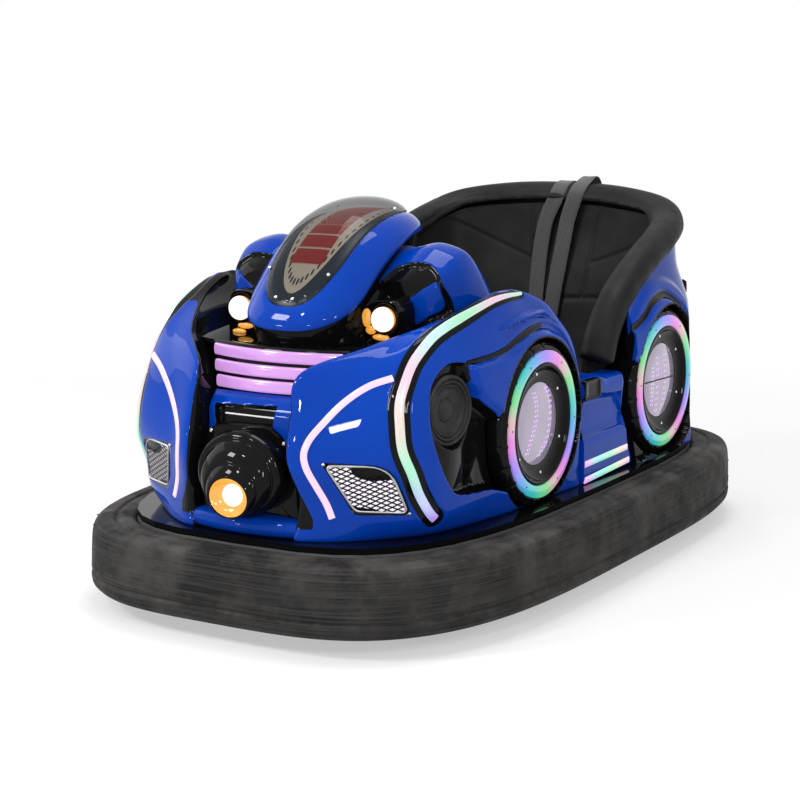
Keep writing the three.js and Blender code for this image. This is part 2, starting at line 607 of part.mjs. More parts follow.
// ---------- dashboard, column and steering wheel ----------
const lean = THREE.MathUtils.degToRad(steering.lean);
const columnAxis = vector(0, Math.sin(lean), Math.cos(lean));
const wheelCentre = vector(0, steering.y * long, steering.z);
const columnFoot = wheelCentre.clone().addScaledVector(columnAxis, -steering.rise);
const faceAlong = vector(0, Math.cos(lean), -Math.sin(lean));
const dash = { half: 236, start: -236, before: 56, behind: 52, deep: 40 };
const dashFront = columnFoot.clone().addScaledVector(faceAlong, -dash.before);
const dashBack = columnFoot.clone().addScaledVector(faceAlong, dash.behind);
const dashFloor = dashBack.z - dash.deep;
const dashTop = deck.bottom - fit;
const dashProfile = [[dash.start * long, dashFloor], [dashBack.y, dashFloor], [dashBack.y, dashBack.z],
  [dashFront.y, dashFront.z], [dashFront.y - 20, dashTop], [dash.start * long, dashTop]];
add('dashboard', prismX(dashProfile, -dash.half * wide, dash.half * wide), black, 0.5);

const along = (distance) => columnFoot.clone().addScaledVector(columnAxis, distance);
const hubThick = 26;
const columnBody = rod(steering.column, along(fit), along(steering.rise - hubThick - 0.8))
  .add(rod(steering.column + 14, along(fit), along(8)));
add('steering_column', columnBody, steel, 0.4, 0.8);

function steeringWheel() {
  const grip = new THREE.TorusGeometry(steering.radius, steering.grip, 8, sides);
  const turn = new THREE.Quaternion().setFromUnitVectors(vector(0, 0, 1), columnAxis);
  grip.applyQuaternion(turn);
  grip.translate(...wheelCentre.toArray());
  let body = solid(grip).add(rod(steering.hub, along(steering.rise - hubThick), along(steering.rise + 4)));
  for (let spoke = 0; spoke < 3; spoke++) {
    const angle = (spoke / 3) * Math.PI * 2 - Math.PI / 2;
    const reach = vector(Math.cos(angle), Math.sin(angle), 0).applyQuaternion(turn)
      .multiplyScalar(steering.radius - 2);
    body = body.add(rod(9, along(steering.rise - 10), along(steering.rise).add(reach), 12));
  }
  return body;
}
add('steering_wheel', steeringWheel(), black, 0.6);

const pedal = { x0: -150, x1: -70, y0: -400, y1: -270, low: 14, high: 62 };
const pedalProfile = alongY([[pedal.y0, panTop + fit], [pedal.y1, panTop + fit],
  [pedal.y1, panTop + fit + pedal.low], [pedal.y0, panTop + fit + pedal.high]]);
add('accelerator_pedal', prismX(pedalProfile, pedal.x0, pedal.x1), black, 0.7);

// ---------- drive unit in front, plain wheels behind ----------
function roller(radius, width, bore, x, y, z) {
  const half = width / 2;
  const soft = 8;
  const profile = [[bore, -half], [radius - soft, -half], [radius, -half + soft], [radius, half - soft],
    [radius - soft, half], [bore, half], [bore, -half]].map(([r, h]) => new THREE.Vector2(r, h));
  const geometry = new THREE.LatheGeometry(profile, sides);
  geometry.rotateZ(Math.PI / 2);
  geometry.translate(x, y, z);
  return facingOut(cleaned(geometry));
}
const drivePlace = driveWheel.y;
const plateFloor = turntable.floor + 0.5;
const legInner = driveWheel.width / 2 + runningGap;
let fork = rodZ(turntable.radius - 2, 0, drivePlace, plateFloor, plateFloor + turntable.plate, 32)
  .add(rodX(driveWheel.bore - axleClear, -legInner - 2, legInner + 2, drivePlace, driveWheel.radius, 20));
for (const side of [-1, 1]) {
  const [near, far] = [side * legInner, side * (legInner + forkLeg.thick)].sort((a, b) => a - b);
  fork = fork.add(box(near, far, drivePlace - forkLeg.width / 2, drivePlace + forkLeg.width / 2,
    driveWheel.radius - forkLeg.width / 2, plateFloor + 2));
}
add('steering_fork', fork, steel, 0.5, 0.7);
add('drive_wheel', roller(driveWheel.radius, driveWheel.width, driveWheel.bore, 0, drivePlace,
  driveWheel.radius), rubber, 0.8);
const motorFloor = plateFloor + turntable.plate + fit;
add('drive_motor', rodZ(driveMotor.radius, 0, drivePlace, motorFloor, motorFloor + driveMotor.height, 28),
  0x3c4146, 0.5, 0.5);

const axle = { collar: 20, collarThick: 6, gap: 1.2, bracket: 12, bracketWidth: 60, inset: 22 };
const axleRadius = rearWheel.bore - axleClear;
const wheelOut = rearWheel.x + rearWheel.width / 2;
const wheelIn = rearWheel.x - rearWheel.width / 2;
let rearAxle = rodX(axleRadius, -wheelOut - axle.gap - axle.collarThick, wheelOut + axle.gap + axle.collarThick,
  rearWheel.y, rearWheel.radius, 20);
for (const side of [-1, 1]) {
  const span = (a, b) => [side * a, side * b].sort((p, q) => p - q);
  const [c0, c1] = span(wheelOut + axle.gap, wheelOut + axle.gap + axle.collarThick);
  const [b0, b1] = span(wheelIn - axle.inset - axle.bracket, wheelIn - axle.inset);
  rearAxle = rearAxle.add(rodX(axle.collar, c0, c1, rearWheel.y, rearWheel.radius, 20))
    .add(box(b0, b1, rearWheel.y - axle.bracketWidth / 2, rearWheel.y + axle.bracketWidth / 2,
      rearWheel.radius - axle.collar, pan.bottom - fit));
}
add('rear_axle', rearAxle, steel, 0.5, 0.7);
for (const [name, side] of [['left', 1], ['right', -1]]) {
  add(`rear_wheel_${name}`, roller(rearWheel.radius, rearWheel.width, rearWheel.bore, side * rearWheel.x,
    rearWheel.y, rearWheel.radius), rubber, 0.8);
}

// ---------- the four moulded wheel covers and their ring lights ----------
const ringOuter = wheelCover.radius - ringLight.inset;
const ringInner = ringOuter - ringLight.width;
const dishRadius = wheelCover.radius - coverDish.inset;
const coverEdge = { land: 22, chamfer: 12, lip: 6 };
function coverAt(name) {
  const { y, z } = coverPlace(name);
  const face = wheelCover.face * wide;
  const ringFloor = face - ringLight.thick;
  const profile = [[0, coverBack + fit], [wheelCover.radius, coverBack + fit],
    [wheelCover.radius, face - coverEdge.land], [wheelCover.radius - coverEdge.chamfer, ringFloor],
    [dishRadius + coverEdge.lip, ringFloor], [dishRadius - coverDish.slope, face - coverDish.depth],
    [0, face - coverDish.depth]];
  return turned(profile, y, z);
}
function turned(profile, y, z) {
  const geometry = new THREE.LatheGeometry(profile.map(([r, h]) => new THREE.Vector2(r, h)), sides);
  geometry.rotateZ(-Math.PI / 2);
  geometry.translate(0, y, z);
  return facingOut(cleaned(geometry));
}
for (const name of ['front', 'rear']) {
  const { y, z } = coverPlace(name);
  const cover = solid(coverAt(name));
  const face = wheelCover.face * wide;
  const [back, front] = [face - ringLight.thick + fit, face + ringLight.proud];
  const ring = [[ringInner, back], [ringOuter, back], [ringOuter, front], [ringInner, front],
    [ringInner, back]];
  const light = solid(turned(ring, y, z));
  add(`wheel_cover_${name}_left`, cover, black, 0.35);
  add(`wheel_cover_${name}_right`, mirrored(cover), black, 0.35);
  add(`ring_light_${name}_left`, light, 0xbfe8ff, 0.3, 0, { emissive: 0xbfe8ff, emissiveIntensity: 0.6 });
  add(`ring_light_${name}_right`, mirrored(light), 0xbfe8ff, 0.3, 0,
    { emissive: 0xbfe8ff, emissiveIntensity: 0.6 });
}

// ---------- sills ----------
const sill = { inner: 370, front: 64, rear: 267.7, outFront: 433, outRear: 438, top: 478 };
const sillPlan = (grow) => [point(sill.inner + grow, sill.front + grow, 0),
  point(sill.outFront - grow, sill.front + grow, 0), point(sill.outRear - grow, sill.rear - grow, 0),
  point(sill.inner + grow, sill.rear - grow, 0)];
const sillLight = { height: 16, thick: 7, sink: 3, y0: 70, y1: 258, rows: [[248, 243], [290, 278]] };
function sillBars(grow, inner, outer) {
  // two level bars on the outer face, joined behind by a carrier
  const faceAt = (y) => (sill.outFront + (sill.outRear - sill.outFront)
    * (y - sill.front) / (sill.rear - sill.front)) * wide;
  const rows = sillLight.rows.map(([front, back]) => {
    const loops = [[sillLight.y0 - grow, front], [sillLight.y1 + grow, back]].map(([y, z]) => {
      const [low, high] = [z - sillLight.height / 2 - grow, z + sillLight.height / 2 + grow];
      return [[inner, low], [outer, low], [outer, high], [inner, high]]
        .map(([out, height]) => vector(faceAt(y) + out, y * long, height));
    });
    return solid(rings(loops));
  });
  const middle = (sillLight.y0 + sillLight.y1) / 2;
  const carrier = box((faceAt(middle) + inner), (faceAt(middle) + Math.min(outer, -1)),
    (middle - 30 - grow) * long, (middle + 30 + grow) * long, sillLight.rows[0][0], sillLight.rows[1][1]);
  return joined(...rows, carrier);
}
const sillBody = prismZ(sillPlan(0), bodyBottom, sill.top)
  .subtract(prismZ(sillPlan(shellWall + 5), bodyBottom - 10, sill.top - shellWall))
  .subtract(sillBars(fit, -sillLight.sink - fit, 30));
add('sill_panel_left', sillBody, blue, 0.18, 0.1);
add('sill_panel_right', mirrored(sillBody), blue, 0.18, 0.1);
const sillBar = sillBars(0, -sillLight.sink, sillLight.thick - sillLight.sink);
add('sill_light_left', sillBar, 0xf6d8ff, 0.3, 0, { emissive: 0xf6d8ff, emissiveIntensity: 0.6 });
add('sill_light_right', mirrored(sillBar), 0xf6d8ff, 0.3, 0, { emissive: 0xf6d8ff, emissiveIntensity: 0.6 });

// ---------- seat roll, seat bucket and rear body ----------
const rollPath = [[380, 178, 500], [382, 205, 564], [383, 262, 630], [384, 351, 690], [386, 450, 738],
  [384, 545, 773], [366, 640, 804], [312, 716, 834], [170, 764, 856], [0, 778, 862]];
const rollLine = smoothLine([
  ...rollPath.map(([x, y, z]) => point(x, y, z)),
  ...rollPath.slice(0, -1).reverse().map(([x, y, z]) => point(-x, y, z)),
], 34);
function rollBody(radius, sides, lengthen = 0) {
  const loops = rollLine.map((p, i) => {
    const direction = rollLine[Math.min(i + 1, rollLine.length - 1)].clone()
      .sub(rollLine[Math.max(i - 1, 0)]).normalize();
    const across = vector(0, 0, 1).cross(direction).normalize();
    const up = direction.clone().cross(across);
    const end = i === 0 ? -lengthen : (i === rollLine.length - 1 ? lengthen : 0);
    return Array.from({ length: sides }, (_, k) => {
      const angle = (k / sides) * Math.PI * 2;
      return p.clone().addScaledVector(direction, end).addScaledVector(across, Math.cos(angle) * radius)
        .addScaledVector(up, Math.sin(angle) * radius);
    });
  });
  return solid(rings(loops));
}
add('seat_roll', rollBody(seat.roll, 10), 0x17171a, 0.6);
const rollRoom = rollBody(seat.roll + fit, 10, fit);
const overRoll = prismX([
  [100 * long, rollPath[0][2] - 30], ...rollPath.map(([, y, z]) => [y * long, z]),
  [1000 * long, rollPath[9][2]], [1000 * long, 1200], [100 * long, 1200]], -600, 600);

const rearLevels = [
  [222, [448, 268], [456, 450], [450, 640], [405, 765], [305, 838], [150, 866]],
  [300, [440, 268], [450, 450], [446, 650], [402, 775], [300, 850], [150, 878]],
  [411, [438, 268], [446, 450], [442, 655], [398, 778], [296, 852], [150, 880]],
  [523, [432, 268], [442, 450], [436, 655], [388, 768], [290, 838], [145, 864]],
  [600, [424, 268], [436, 440], [424, 648], [372, 748], [280, 812], [140, 838]],
  [660, [416, 268], [424, 430], [408, 640], [356, 735], [270, 795], [138, 822]],
  [710, [404, 268], [410, 430], [396, 632], [340, 722], [256, 780], [135, 808]],
  [800, [404, 268], [408, 440], [392, 628], [334, 722], [244, 780], [136, 804]],
  [880, [404, 268], [408, 440], [390, 628], [330, 720], [240, 778], [134, 802]],
];
function openLoops(levels, tail, perSpan) {
  // a U in plan: down the left side, round the tail and back up the right side
  return levels.map(([z, ...half], level) => {
    const line = smoothLine([...half.map(([x, y]) => point(x, y, z)), point(0, tail[level], z),
      ...half.slice().reverse().map(([x, y]) => point(-x, y, z))], half.length * 2 * perSpan);
    return line;
  });
}
const rearTail = [874, 885, 888, 871, 845, 830, 816, 812, 810];
function uWall(levels, tail, perSpan, wall, forward) {
  // the body of the U, and the same drawn in by one wall and carried on past its front and its top
  const loops = openLoops(levels, tail, perSpan);
  const room = loops.map((loop) => {
    const drawn = inset(loop, wall, true);
    drawn[0] = vector(loop[0].x - wall, forward * long, loop[0].z);
    drawn[drawn.length - 1] = vector(-loop[0].x + wall, forward * long, loop[0].z);
    return drawn;
  });
  const lift = (loop, dz) => loop.map((p) => vector(p.x, p.y, p.z + dz));
  return [solid(rings(loops)), solid(rings([lift(room[0], -60), ...room, lift(room[room.length - 1], 60)]))];
}
let [rear, rearRoom] = uWall(rearLevels, rearTail, spans, shellWall, 240);
const bothSides = (body, cutter) => body.subtract(cutter).subtract(mirrored(cutter));
rear = bothSides(rear, wheelRecess('rear', pocketRadius, coverBack));
rearRoom = bothSides(rearRoom, wheelRecess('rear', pocketRadius + shellWall, coverBack - shellWall));
add('rear_shell', rear.subtract(rearRoom).subtract(overRoll).subtract(rollRoom), blue, 0.18, 0.1);

const bucketLevels = [
  [panTop + fit, [302, 200], [304, 400], [300, 520], [262, 590], [150, 620]],
  [seat.floor, [326, 200], [334, 400], [322, 560], [277, 640], [150, 680]],
  [480, [346, 200], [350, 400], [336, 575], [287, 662], [150, 702]],
  [600, [356, 200], [358, 400], [346, 588], [296, 676], [152, 718]],
  [740, [368, 200], [370, 410], [360, 606], [310, 698], [158, 748]],
  [900, [372, 200], [376, 430], [372, 616], [322, 714], [162, 764]],
];
const bucketTail = [628, 690, 714, 731, 762, 780];
const [bucket, bucketRoom] = uWall(bucketLevels, bucketTail, spans, seat.wall, 150);
const floorTop = seat.floor + seat.floorThick;
const aboveFloor = box(-600, 600, 0, 1100, floorTop, 1300);
const underFloor = prismZ(inset(openLoops([bucketLevels[0]], [bucketTail[0]], spans)[0], 12, true), pan.bottom,
  seat.floor - 6);
add('seat_shell', bucket.subtract(bucketRoom.intersect(aboveFloor)).subtract(underFloor)
  .subtract(overRoll).subtract(rollRoom), 0x141416, 0.6);

const cushionSteps = [[floorTop + fit, 6], [floorTop + 16, 2], [floorTop + seat.cushion - 16, 2],
  [floorTop + seat.cushion, 20]];
const cushionBase = openLoops([bucketLevels[1]], [bucketTail[1]], spans)[0];
const cushionLoops = cushionSteps.map(([z, step]) => inset(cushionBase, seat.wall + step, true)
  .map((p) => vector(p.x, Math.max(p.y, (seat.front + 10 + step) * long), z)));
add('seat_cushion', solid(rings(cushionLoops)), 0x17171a, 0.6);

add('battery_block', box(-battery.width / 2, battery.width / 2, battery.y * long - battery.length / 2,
  battery.y * long + battery.length / 2, panTop + fit, panTop + fit + battery.height), 0x26282b, 0.6);

// two flat belts over the back of the seat, joined behind by their anchor plate
const belt = { width: 48, thick: 3, apart: 44, gap: 0.5 };
const rollBack = rollPath[rollPath.length - 1];
const beltOver = [-25, 5, 35, 65, 95, 125, 155, 180].map((degrees) => {
  const angle = THREE.MathUtils.degToRad(degrees);
  const reach = seat.roll + belt.gap;
  return [rollBack[1] + reach / long * Math.cos(angle), rollBack[2] + reach * Math.sin(angle)];
});
const beltRoute = [...beltOver, [731, 806], [724, 740], [701, 600], [684, 480], [678, 440]];
function beltAt(x) {
  const line = smoothLine(beltRoute.map(([y, z]) => point(0, y, z)), 18);
  const loops = line.map((p, i) => {
    const direction = line[Math.min(i + 1, line.length - 1)].clone().sub(line[Math.max(i - 1, 0)]).normalize();
    const out = vector(0, direction.z, -direction.y);
    return [[-1, 0], [1, 0], [1, 1], [-1, 1]].map(([s, h]) => vector(x + s * belt.width / 2,
      p.y + out.y * h * belt.thick, p.z + out.z * h * belt.thick));
  });
  return solid(rings(loops));
}
const [plateY, plateZ] = [beltRoute[0][0] * long, beltRoute[0][1]];
const beltPlate = box(-belt.apart, belt.apart, plateY + 1, plateY + belt.thick + 2, plateZ - 4, plateZ + 22);
add('seat_belts', joined(beltAt(-belt.apart), beltAt(belt.apart), beltPlate).subtract(rollRoom), 0x1b1b1d, 0.8);

export default group;
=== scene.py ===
# Battery bumper car: the finish and the fine surfaces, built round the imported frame.
# Metres in the scene; shape tables are in millimetres and pass through mm.
import math

import bpy
import numpy as np
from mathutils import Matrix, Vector
from mathutils.bvhtree import BVHTree


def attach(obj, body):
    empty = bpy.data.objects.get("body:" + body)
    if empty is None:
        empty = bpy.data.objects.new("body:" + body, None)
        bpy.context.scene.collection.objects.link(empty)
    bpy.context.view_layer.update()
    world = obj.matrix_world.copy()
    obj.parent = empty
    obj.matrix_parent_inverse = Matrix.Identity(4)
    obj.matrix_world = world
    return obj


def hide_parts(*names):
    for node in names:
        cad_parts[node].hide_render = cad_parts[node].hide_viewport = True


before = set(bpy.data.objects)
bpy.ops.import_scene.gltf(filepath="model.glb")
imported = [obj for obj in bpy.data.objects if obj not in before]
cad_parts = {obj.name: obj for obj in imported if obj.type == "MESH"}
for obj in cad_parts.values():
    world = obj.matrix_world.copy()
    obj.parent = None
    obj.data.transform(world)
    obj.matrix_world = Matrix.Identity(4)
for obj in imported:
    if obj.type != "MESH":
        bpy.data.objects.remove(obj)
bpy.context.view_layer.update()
scene = bpy.context.scene
mm = 0.001
rng = np.random.default_rng(7)
farOff = 60.0  # millimetres, a distance that keeps a pressed shape off a place
noBlack, allBlack = -0.05, 0.05  # metres, stored distances well to either side of a colour edge

cameraView = {
    "azimuth": 30.78, "elevation": 10.19, "distance": 4.8813, "lens": 88.14,
    "aim": (0.0, -0.1645, 0.4172),
}


def placeCamera():
    azimuth, elevation = (math.radians(cameraView[k]) for k in ("azimuth", "elevation"))
    back = Vector((math.sin(azimuth) * math.cos(elevation),
                   -math.cos(azimuth) * math.cos(elevation), math.sin(elevation)))
    data = bpy.data.cameras.new("camera")
    data.lens = cameraView["lens"]
    data.sensor_width = 36
    data.clip_end = 200
    camera = bpy.data.objects.new("camera", data)
    camera.location = Vector(cameraView["aim"]) + back * cameraView["distance"]
    camera.rotation_mode = "QUATERNION"
    camera.rotation_quaternion = (-back).to_track_quat("-Z", "Y")
    scene.collection.objects.link(camera)
    scene.camera = camera


studio = {
    "softboxes": [  # place, size, watts
        ((-2.6, -3.6, 3.2), (0.8, 0.8), 88),
        ((4.2, -2.4, 2.4), (0.5, 0.9), 50),
        ((0.0, 0.4, 4.4), (2.0, 2.0), 95),
        ((0.7, -5.2, 1.5), (0.34, 0.24), 30),
        ((-3.3, -5.6, 0.95), (0.34, 0.26), 24),
        ((2.6, -3.6, 2.9), (0.34, 0.3), 26),
        ((-0.9, -3.4, 3.6), (0.36, 0.3), 26),
        ((-4.6, -0.6, 2.4), (3.6, 2.6), 40),
    ],
    "aim": (0.0, -0.1, 0.45),
    "worldStrength": 0.5,
    "floorColour": (0.88, 0.88, 0.885, 1),
    "floorRadius": 40.0,
    "fadeFrom": 1.4, "fadeTo": 3.4,
    "leastFade": 0.45,
}


def addNode(tree, kind, **values):
    # a name that starts with "in" sets the input with that number, any other an attribute
    node = tree.nodes.new(kind)
    for key, value in values.items():
        if key.startswith("in") and key[2:].isdigit():
            node.inputs[int(key[2:])].default_value = value
        else:
            setattr(node, key, value)
    return node


def raysThatSee(tree):
    # 1 for camera, glossy and transmission rays, so metal and glass show the white background too
    path = addNode(tree, "ShaderNodeLightPath")
    total = path.outputs["Is Camera Ray"]
    for other in ("Is Glossy Ray", "Is Transmission Ray"):
        either = addNode(tree, "ShaderNodeMath", operation="MAXIMUM")
        tree.links.new(total, either.inputs[0])
        tree.links.new(path.outputs[other], either.inputs[1])
        total = either.outputs[0]
    return total


def lightStudio():
    for i, (place, size, watts) in enumerate(studio["softboxes"]):
        data = bpy.data.lights.new(f"softbox{i}", "AREA")
        data.shape = "RECTANGLE"
        data.size, data.size_y = size
        data.energy = watts
        lamp = bpy.data.objects.new(f"softbox{i}", data)
        lamp.location = place
        lamp.rotation_mode = "QUATERNION"
        lamp.rotation_quaternion = (Vector(studio["aim"]) - lamp.location).to_track_quat("-Z", "Y")
        scene.collection.objects.link(lamp)
    world = bpy.data.worlds.new("studio")
    world.use_nodes = True
    tree = world.node_tree
    background = tree.nodes["Background"]
    strength = addNode(tree, "ShaderNodeMapRange", in3=studio["worldStrength"], in4=1.0)
    tree.links.new(raysThatSee(tree), strength.inputs[0])
    tree.links.new(strength.outputs[0], background.inputs["Strength"])
    background.inputs["Color"].default_value = (1, 1, 1, 1)
    scene.world = world


def layFloor():
    # a pale disc that goes over to plain white away from the car and keeps its shadow
    count = 64
    angle = np.arange(count) / count * 2 * np.pi
    rim = np.stack([np.cos(angle), np.sin(angle), np.zeros(count)], 1) * studio["floorRadius"]
    mesh = bpy.data.meshes.new("floor")
    mesh.from_pydata(rim.tolist(), [], [list(range(count))])
    floor = bpy.data.objects.new("floor", mesh)
    scene.collection.objects.link(floor)
    material = bpy.data.materials.new("paleFloor")
    material.use_nodes = True
    tree = material.node_tree
    paint = tree.nodes["Principled BSDF"]
    paint.inputs["Base Color"].default_value = studio["floorColour"]
    paint.inputs["Roughness"].default_value = 0.6
    paint.inputs["Specular IOR Level"].default_value = 0.15
    place = addNode(tree, "ShaderNodeTexCoord")
    far = addNode(tree, "ShaderNodeVectorMath", operation="LENGTH")
    fade = addNode(tree, "ShaderNodeMapRange", interpolation_type="SMOOTHSTEP",
                   in1=studio["fadeFrom"], in2=studio["fadeTo"], in3=studio["leastFade"], in4=1.0)
    share = addNode(tree, "ShaderNodeMath", operation="MULTIPLY")
    white = addNode(tree, "ShaderNodeEmission", in0=(1, 1, 1, 1), in1=1.0)
    mix = addNode(tree, "ShaderNodeMixShader")
    tree.links.new(place.outputs["Object"], far.inputs[0])
    tree.links.new(far.outputs["Value"], fade.inputs[0])
    tree.links.new(fade.outputs[0], share.inputs[0])
    tree.links.new(raysThatSee(tree), share.inputs[1])
    tree.links.new(share.outputs[0], mix.inputs[0])
    tree.links.new(paint.outputs[0], mix.inputs[1])
    tree.links.new(white.outputs[0], mix.inputs[2])
    tree.links.new(mix.outputs[0], tree.nodes["Material Output"].inputs["Surface"])
    mesh.materials.append(material)


scene.view_settings.view_transform = "Standard"
placeCamera()
lightStudio()
layFloor()
print("stage set")


# shader groups that several finishes share
def makeGroup(name, inputs, outputs):
    group = bpy.data.node_groups.new(name, "ShaderNodeTree")
    for label, kind, value in inputs:
        socket = group.interface.new_socket(label, in_out="INPUT", socket_type=kind)
        socket.default_value = value
    for label, kind in outputs:
        group.interface.new_socket(label, in_out="OUTPUT", socket_type=kind)
    return group, group.nodes.new("NodeGroupInput"), group.nodes.new("NodeGroupOutput")


def makePatches():
    # soft noise between two limits, for shade and roughness that drift over a surface
    group, given, out = makeGroup(
        "patches",
        [("Scale", "NodeSocketFloat", 8.0), ("Low", "NodeSocketFloat", 0.4), ("High", "NodeSocketFloat", 0.6)],
        [("Value", "NodeSocketFloat")])
    place = addNode(group, "ShaderNodeTexCoord")
    noise = addNode(group, "ShaderNodeTexNoise", in3=5.0, in4=0.6)
    spread = addNode(group, "ShaderNodeMapRange", in1=0.3, in2=0.7)
    group.links.new(place.outputs["Object"], noise.inputs["Vector"])
    group.links.new(given.outputs["Scale"], noise.inputs["Scale"])
    group.links.new(noise.outputs[0], spread.inputs[0])
    group.links.new(given.outputs["Low"], spread.inputs[3])
    group.links.new(given.outputs["High"], spread.inputs[4])
    group.links.new(spread.outputs[0], out.inputs["Value"])
    return group


def makeDust():
    # a colour that goes over to dust where the surface looks up, broken by noise
    group, given, out = makeGroup(
        "dust",
        [("Color", "NodeSocketColor", (0, 0, 0, 1)), ("Dust", "NodeSocketColor", (0.3, 0.26, 0.22, 1)),
         ("Amount", "NodeSocketFloat", 0.3), ("Scale", "NodeSocketFloat", 14.0)],
        [("Color", "NodeSocketColor"), ("Mask", "NodeSocketFloat")])
    place = addNode(group, "ShaderNodeTexCoord")
    noise = addNode(group, "ShaderNodeTexNoise", in3=6.0, in4=0.65)
    shape = addNode(group, "ShaderNodeNewGeometry")
    split = addNode(group, "ShaderNodeSeparateXYZ")
    up = addNode(group, "ShaderNodeMapRange", in1=-0.1, in2=0.9, in3=0.25, in4=1.0)
    broken = addNode(group, "ShaderNodeMapRange", in1=0.42, in2=0.66)
    both = addNode(group, "ShaderNodeMath", operation="MULTIPLY")
    share = addNode(group, "ShaderNodeMath", operation="MULTIPLY")
    mix = addNode(group, "ShaderNodeMix", data_type="RGBA")
    group.links.new(place.outputs["Object"], noise.inputs["Vector"])
    group.links.new(given.outputs["Scale"], noise.inputs["Scale"])
    group.links.new(noise.outputs[0], broken.inputs[0])
    group.links.new(shape.outputs["Normal"], split.inputs[0])
    group.links.new(split.outputs["Z"], up.inputs[0])
    group.links.new(up.outputs[0], both.inputs[0])
    group.links.new(broken.outputs[0], both.inputs[1])
    group.links.new(both.outputs[0], share.inputs[0])
    group.links.new(given.outputs["Amount"], share.inputs[1])
    group.links.new(share.outputs[0], mix.inputs["Factor"])
    group.links.new(given.outputs["Color"], mix.inputs[6])
    group.links.new(given.outputs["Dust"], mix.inputs[7])
    group.links.new(mix.outputs[2], out.inputs["Color"])
    group.links.new(share.outputs[0], out.inputs["Mask"])
    return group


def makeGrain():
    # height of a pebbled skin: rounded cells with a finer noise on them
    group, given, out = makeGroup(
        "grain",
        [("Scale", "NodeSocketFloat", 400.0), ("Fine", "NodeSocketFloat", 0.3)],
        [("Height", "NodeSocketFloat")])
    place = addNode(group, "ShaderNodeTexCoord")
    cells = addNode(group, "ShaderNodeTexVoronoi", feature="SMOOTH_F1")
    noise = addNode(group, "ShaderNodeTexNoise", in3=3.0, in4=0.5)
    both = addNode(group, "ShaderNodeMath", operation="MULTIPLY_ADD")
    group.links.new(place.outputs["Object"], cells.inputs["Vector"])
    group.links.new(place.outputs["Object"], noise.inputs["Vector"])
    group.links.new(given.outputs["Scale"], cells.inputs["Scale"])
    group.links.new(given.outputs["Scale"], noise.inputs["Scale"])
    group.links.new(noise.outputs[0], both.inputs[0])
    group.links.new(given.outputs["Fine"], both.inputs[1])
    group.links.new(cells.outputs[0], both.inputs[2])
    group.links.new(both.outputs[0], out.inputs["Height"])
    return group


groups = {"patches": makePatches(), "dust": makeDust(), "grain": makeGrain()}


class Finish:
    # a material with its Principled shader, and short ways to hang nodes on it
    def __init__(self, name, colour=(0.5, 0.5, 0.5), **sockets):
        self.material = bpy.data.materials.new(name)
        self.material.use_nodes = True
        self.tree = self.material.node_tree
        self.shader = self.tree.nodes["Principled BSDF"]
        self.shader.inputs["Base Color"].default_value = (*colour, 1)
        for label, value in sockets.items():
            self.shader.inputs[label].default_value = value

    def node(self, kind, **values):
        return addNode(self.tree, kind, **values)

    def link(self, start, end):
        self.tree.links.new(start, end)

    def group(self, name, **values):
        node = self.node("ShaderNodeGroup")
        node.node_tree = groups[name]
        for label, value in values.items():
            node.inputs[label].default_value = value
        return node

    def place(self):
        return self.node("ShaderNodeTexCoord").outputs["Object"]

    def drift(self, socket, scale, low, high):
        patches = self.group("patches", Scale=scale, Low=low, High=high)
        self.link(patches.outputs[0], self.shader.inputs[socket])

    def shades(self, factor, first, second, socket="Base Color"):
        mix = self.node("ShaderNodeMix", data_type="RGBA")
        self.link(factor, mix.inputs["Factor"])
        for slot, value in ((6, first), (7, second)):
            if isinstance(value, tuple):
                mix.inputs[slot].default_value = (*value, 1)
            else:
                self.link(value, mix.inputs[slot])
        if socket:
            self.link(mix.outputs[2], self.shader.inputs[socket])
        return mix.outputs[2]

    def relief(self, height, strength, distance):
        bump = self.node("ShaderNodeBump", in0=strength, in1=distance)
        self.link(height, bump.inputs["Height"])
        self.link(bump.outputs[0], self.shader.inputs["Normal"])

    def field(self, name, low=-0.0004, high=0.0004):
        # a stored distance turned into a mask with a crisp edge
        stored = self.node("ShaderNodeAttribute", attribute_name=name)
        mask = self.node("ShaderNodeMapRange", in1=low, in2=high)
        self.link(stored.outputs["Fac"], mask.inputs[0])
        return mask.outputs[0]


finishes = {
    "blue": (0.0005, 0.045, 0.365), "blueDeep": (0.0005, 0.032, 0.285),
    "black": (0.0035, 0.0035, 0.004),
}


def paintedBody():
    # gelcoat: blue with a slow drift in depth, black where the stored distance says so
    finish = Finish("paintedBody", Roughness=0.35, **{"Specular IOR Level": 0.0, "Coat Weight": 1.0,
                                                      "Coat Roughness": 0.02, "Coat IOR": 1.21})
    patches = finish.group("patches", Scale=2.6, Low=0.0, High=1.0)
    blue = finish.shades(patches.outputs[0], finishes["blue"], finishes["blueDeep"], None)
    black = finish.field("blackness")
    finish.shades(black, blue, finishes["black"])
    peel = finish.node("ShaderNodeTexNoise", in2=90.0, in3=2.0)
    finish.link(finish.place(), peel.inputs["Vector"])
    finish.relief(peel.outputs[0], 0.05, 0.0006)
    return finish.material


def glossBlack():
    # near black under a clear coat, with the same faint ripple
    finish = Finish("glossBlack", finishes["black"], **{"Specular IOR Level": 0.0, "Coat Weight": 1.0,
                                                        "Coat Roughness": 0.02, "Coat IOR": 1.21})
    finish.drift("Roughness", 6.0, 0.12, 0.26)
    peel = finish.node("ShaderNodeTexNoise", in2=60.0, in3=2.0)
    finish.link(finish.place(), peel.inputs["Vector"])
    finish.relief(peel.outputs[0], 0.06, 0.0008)
    return finish.material


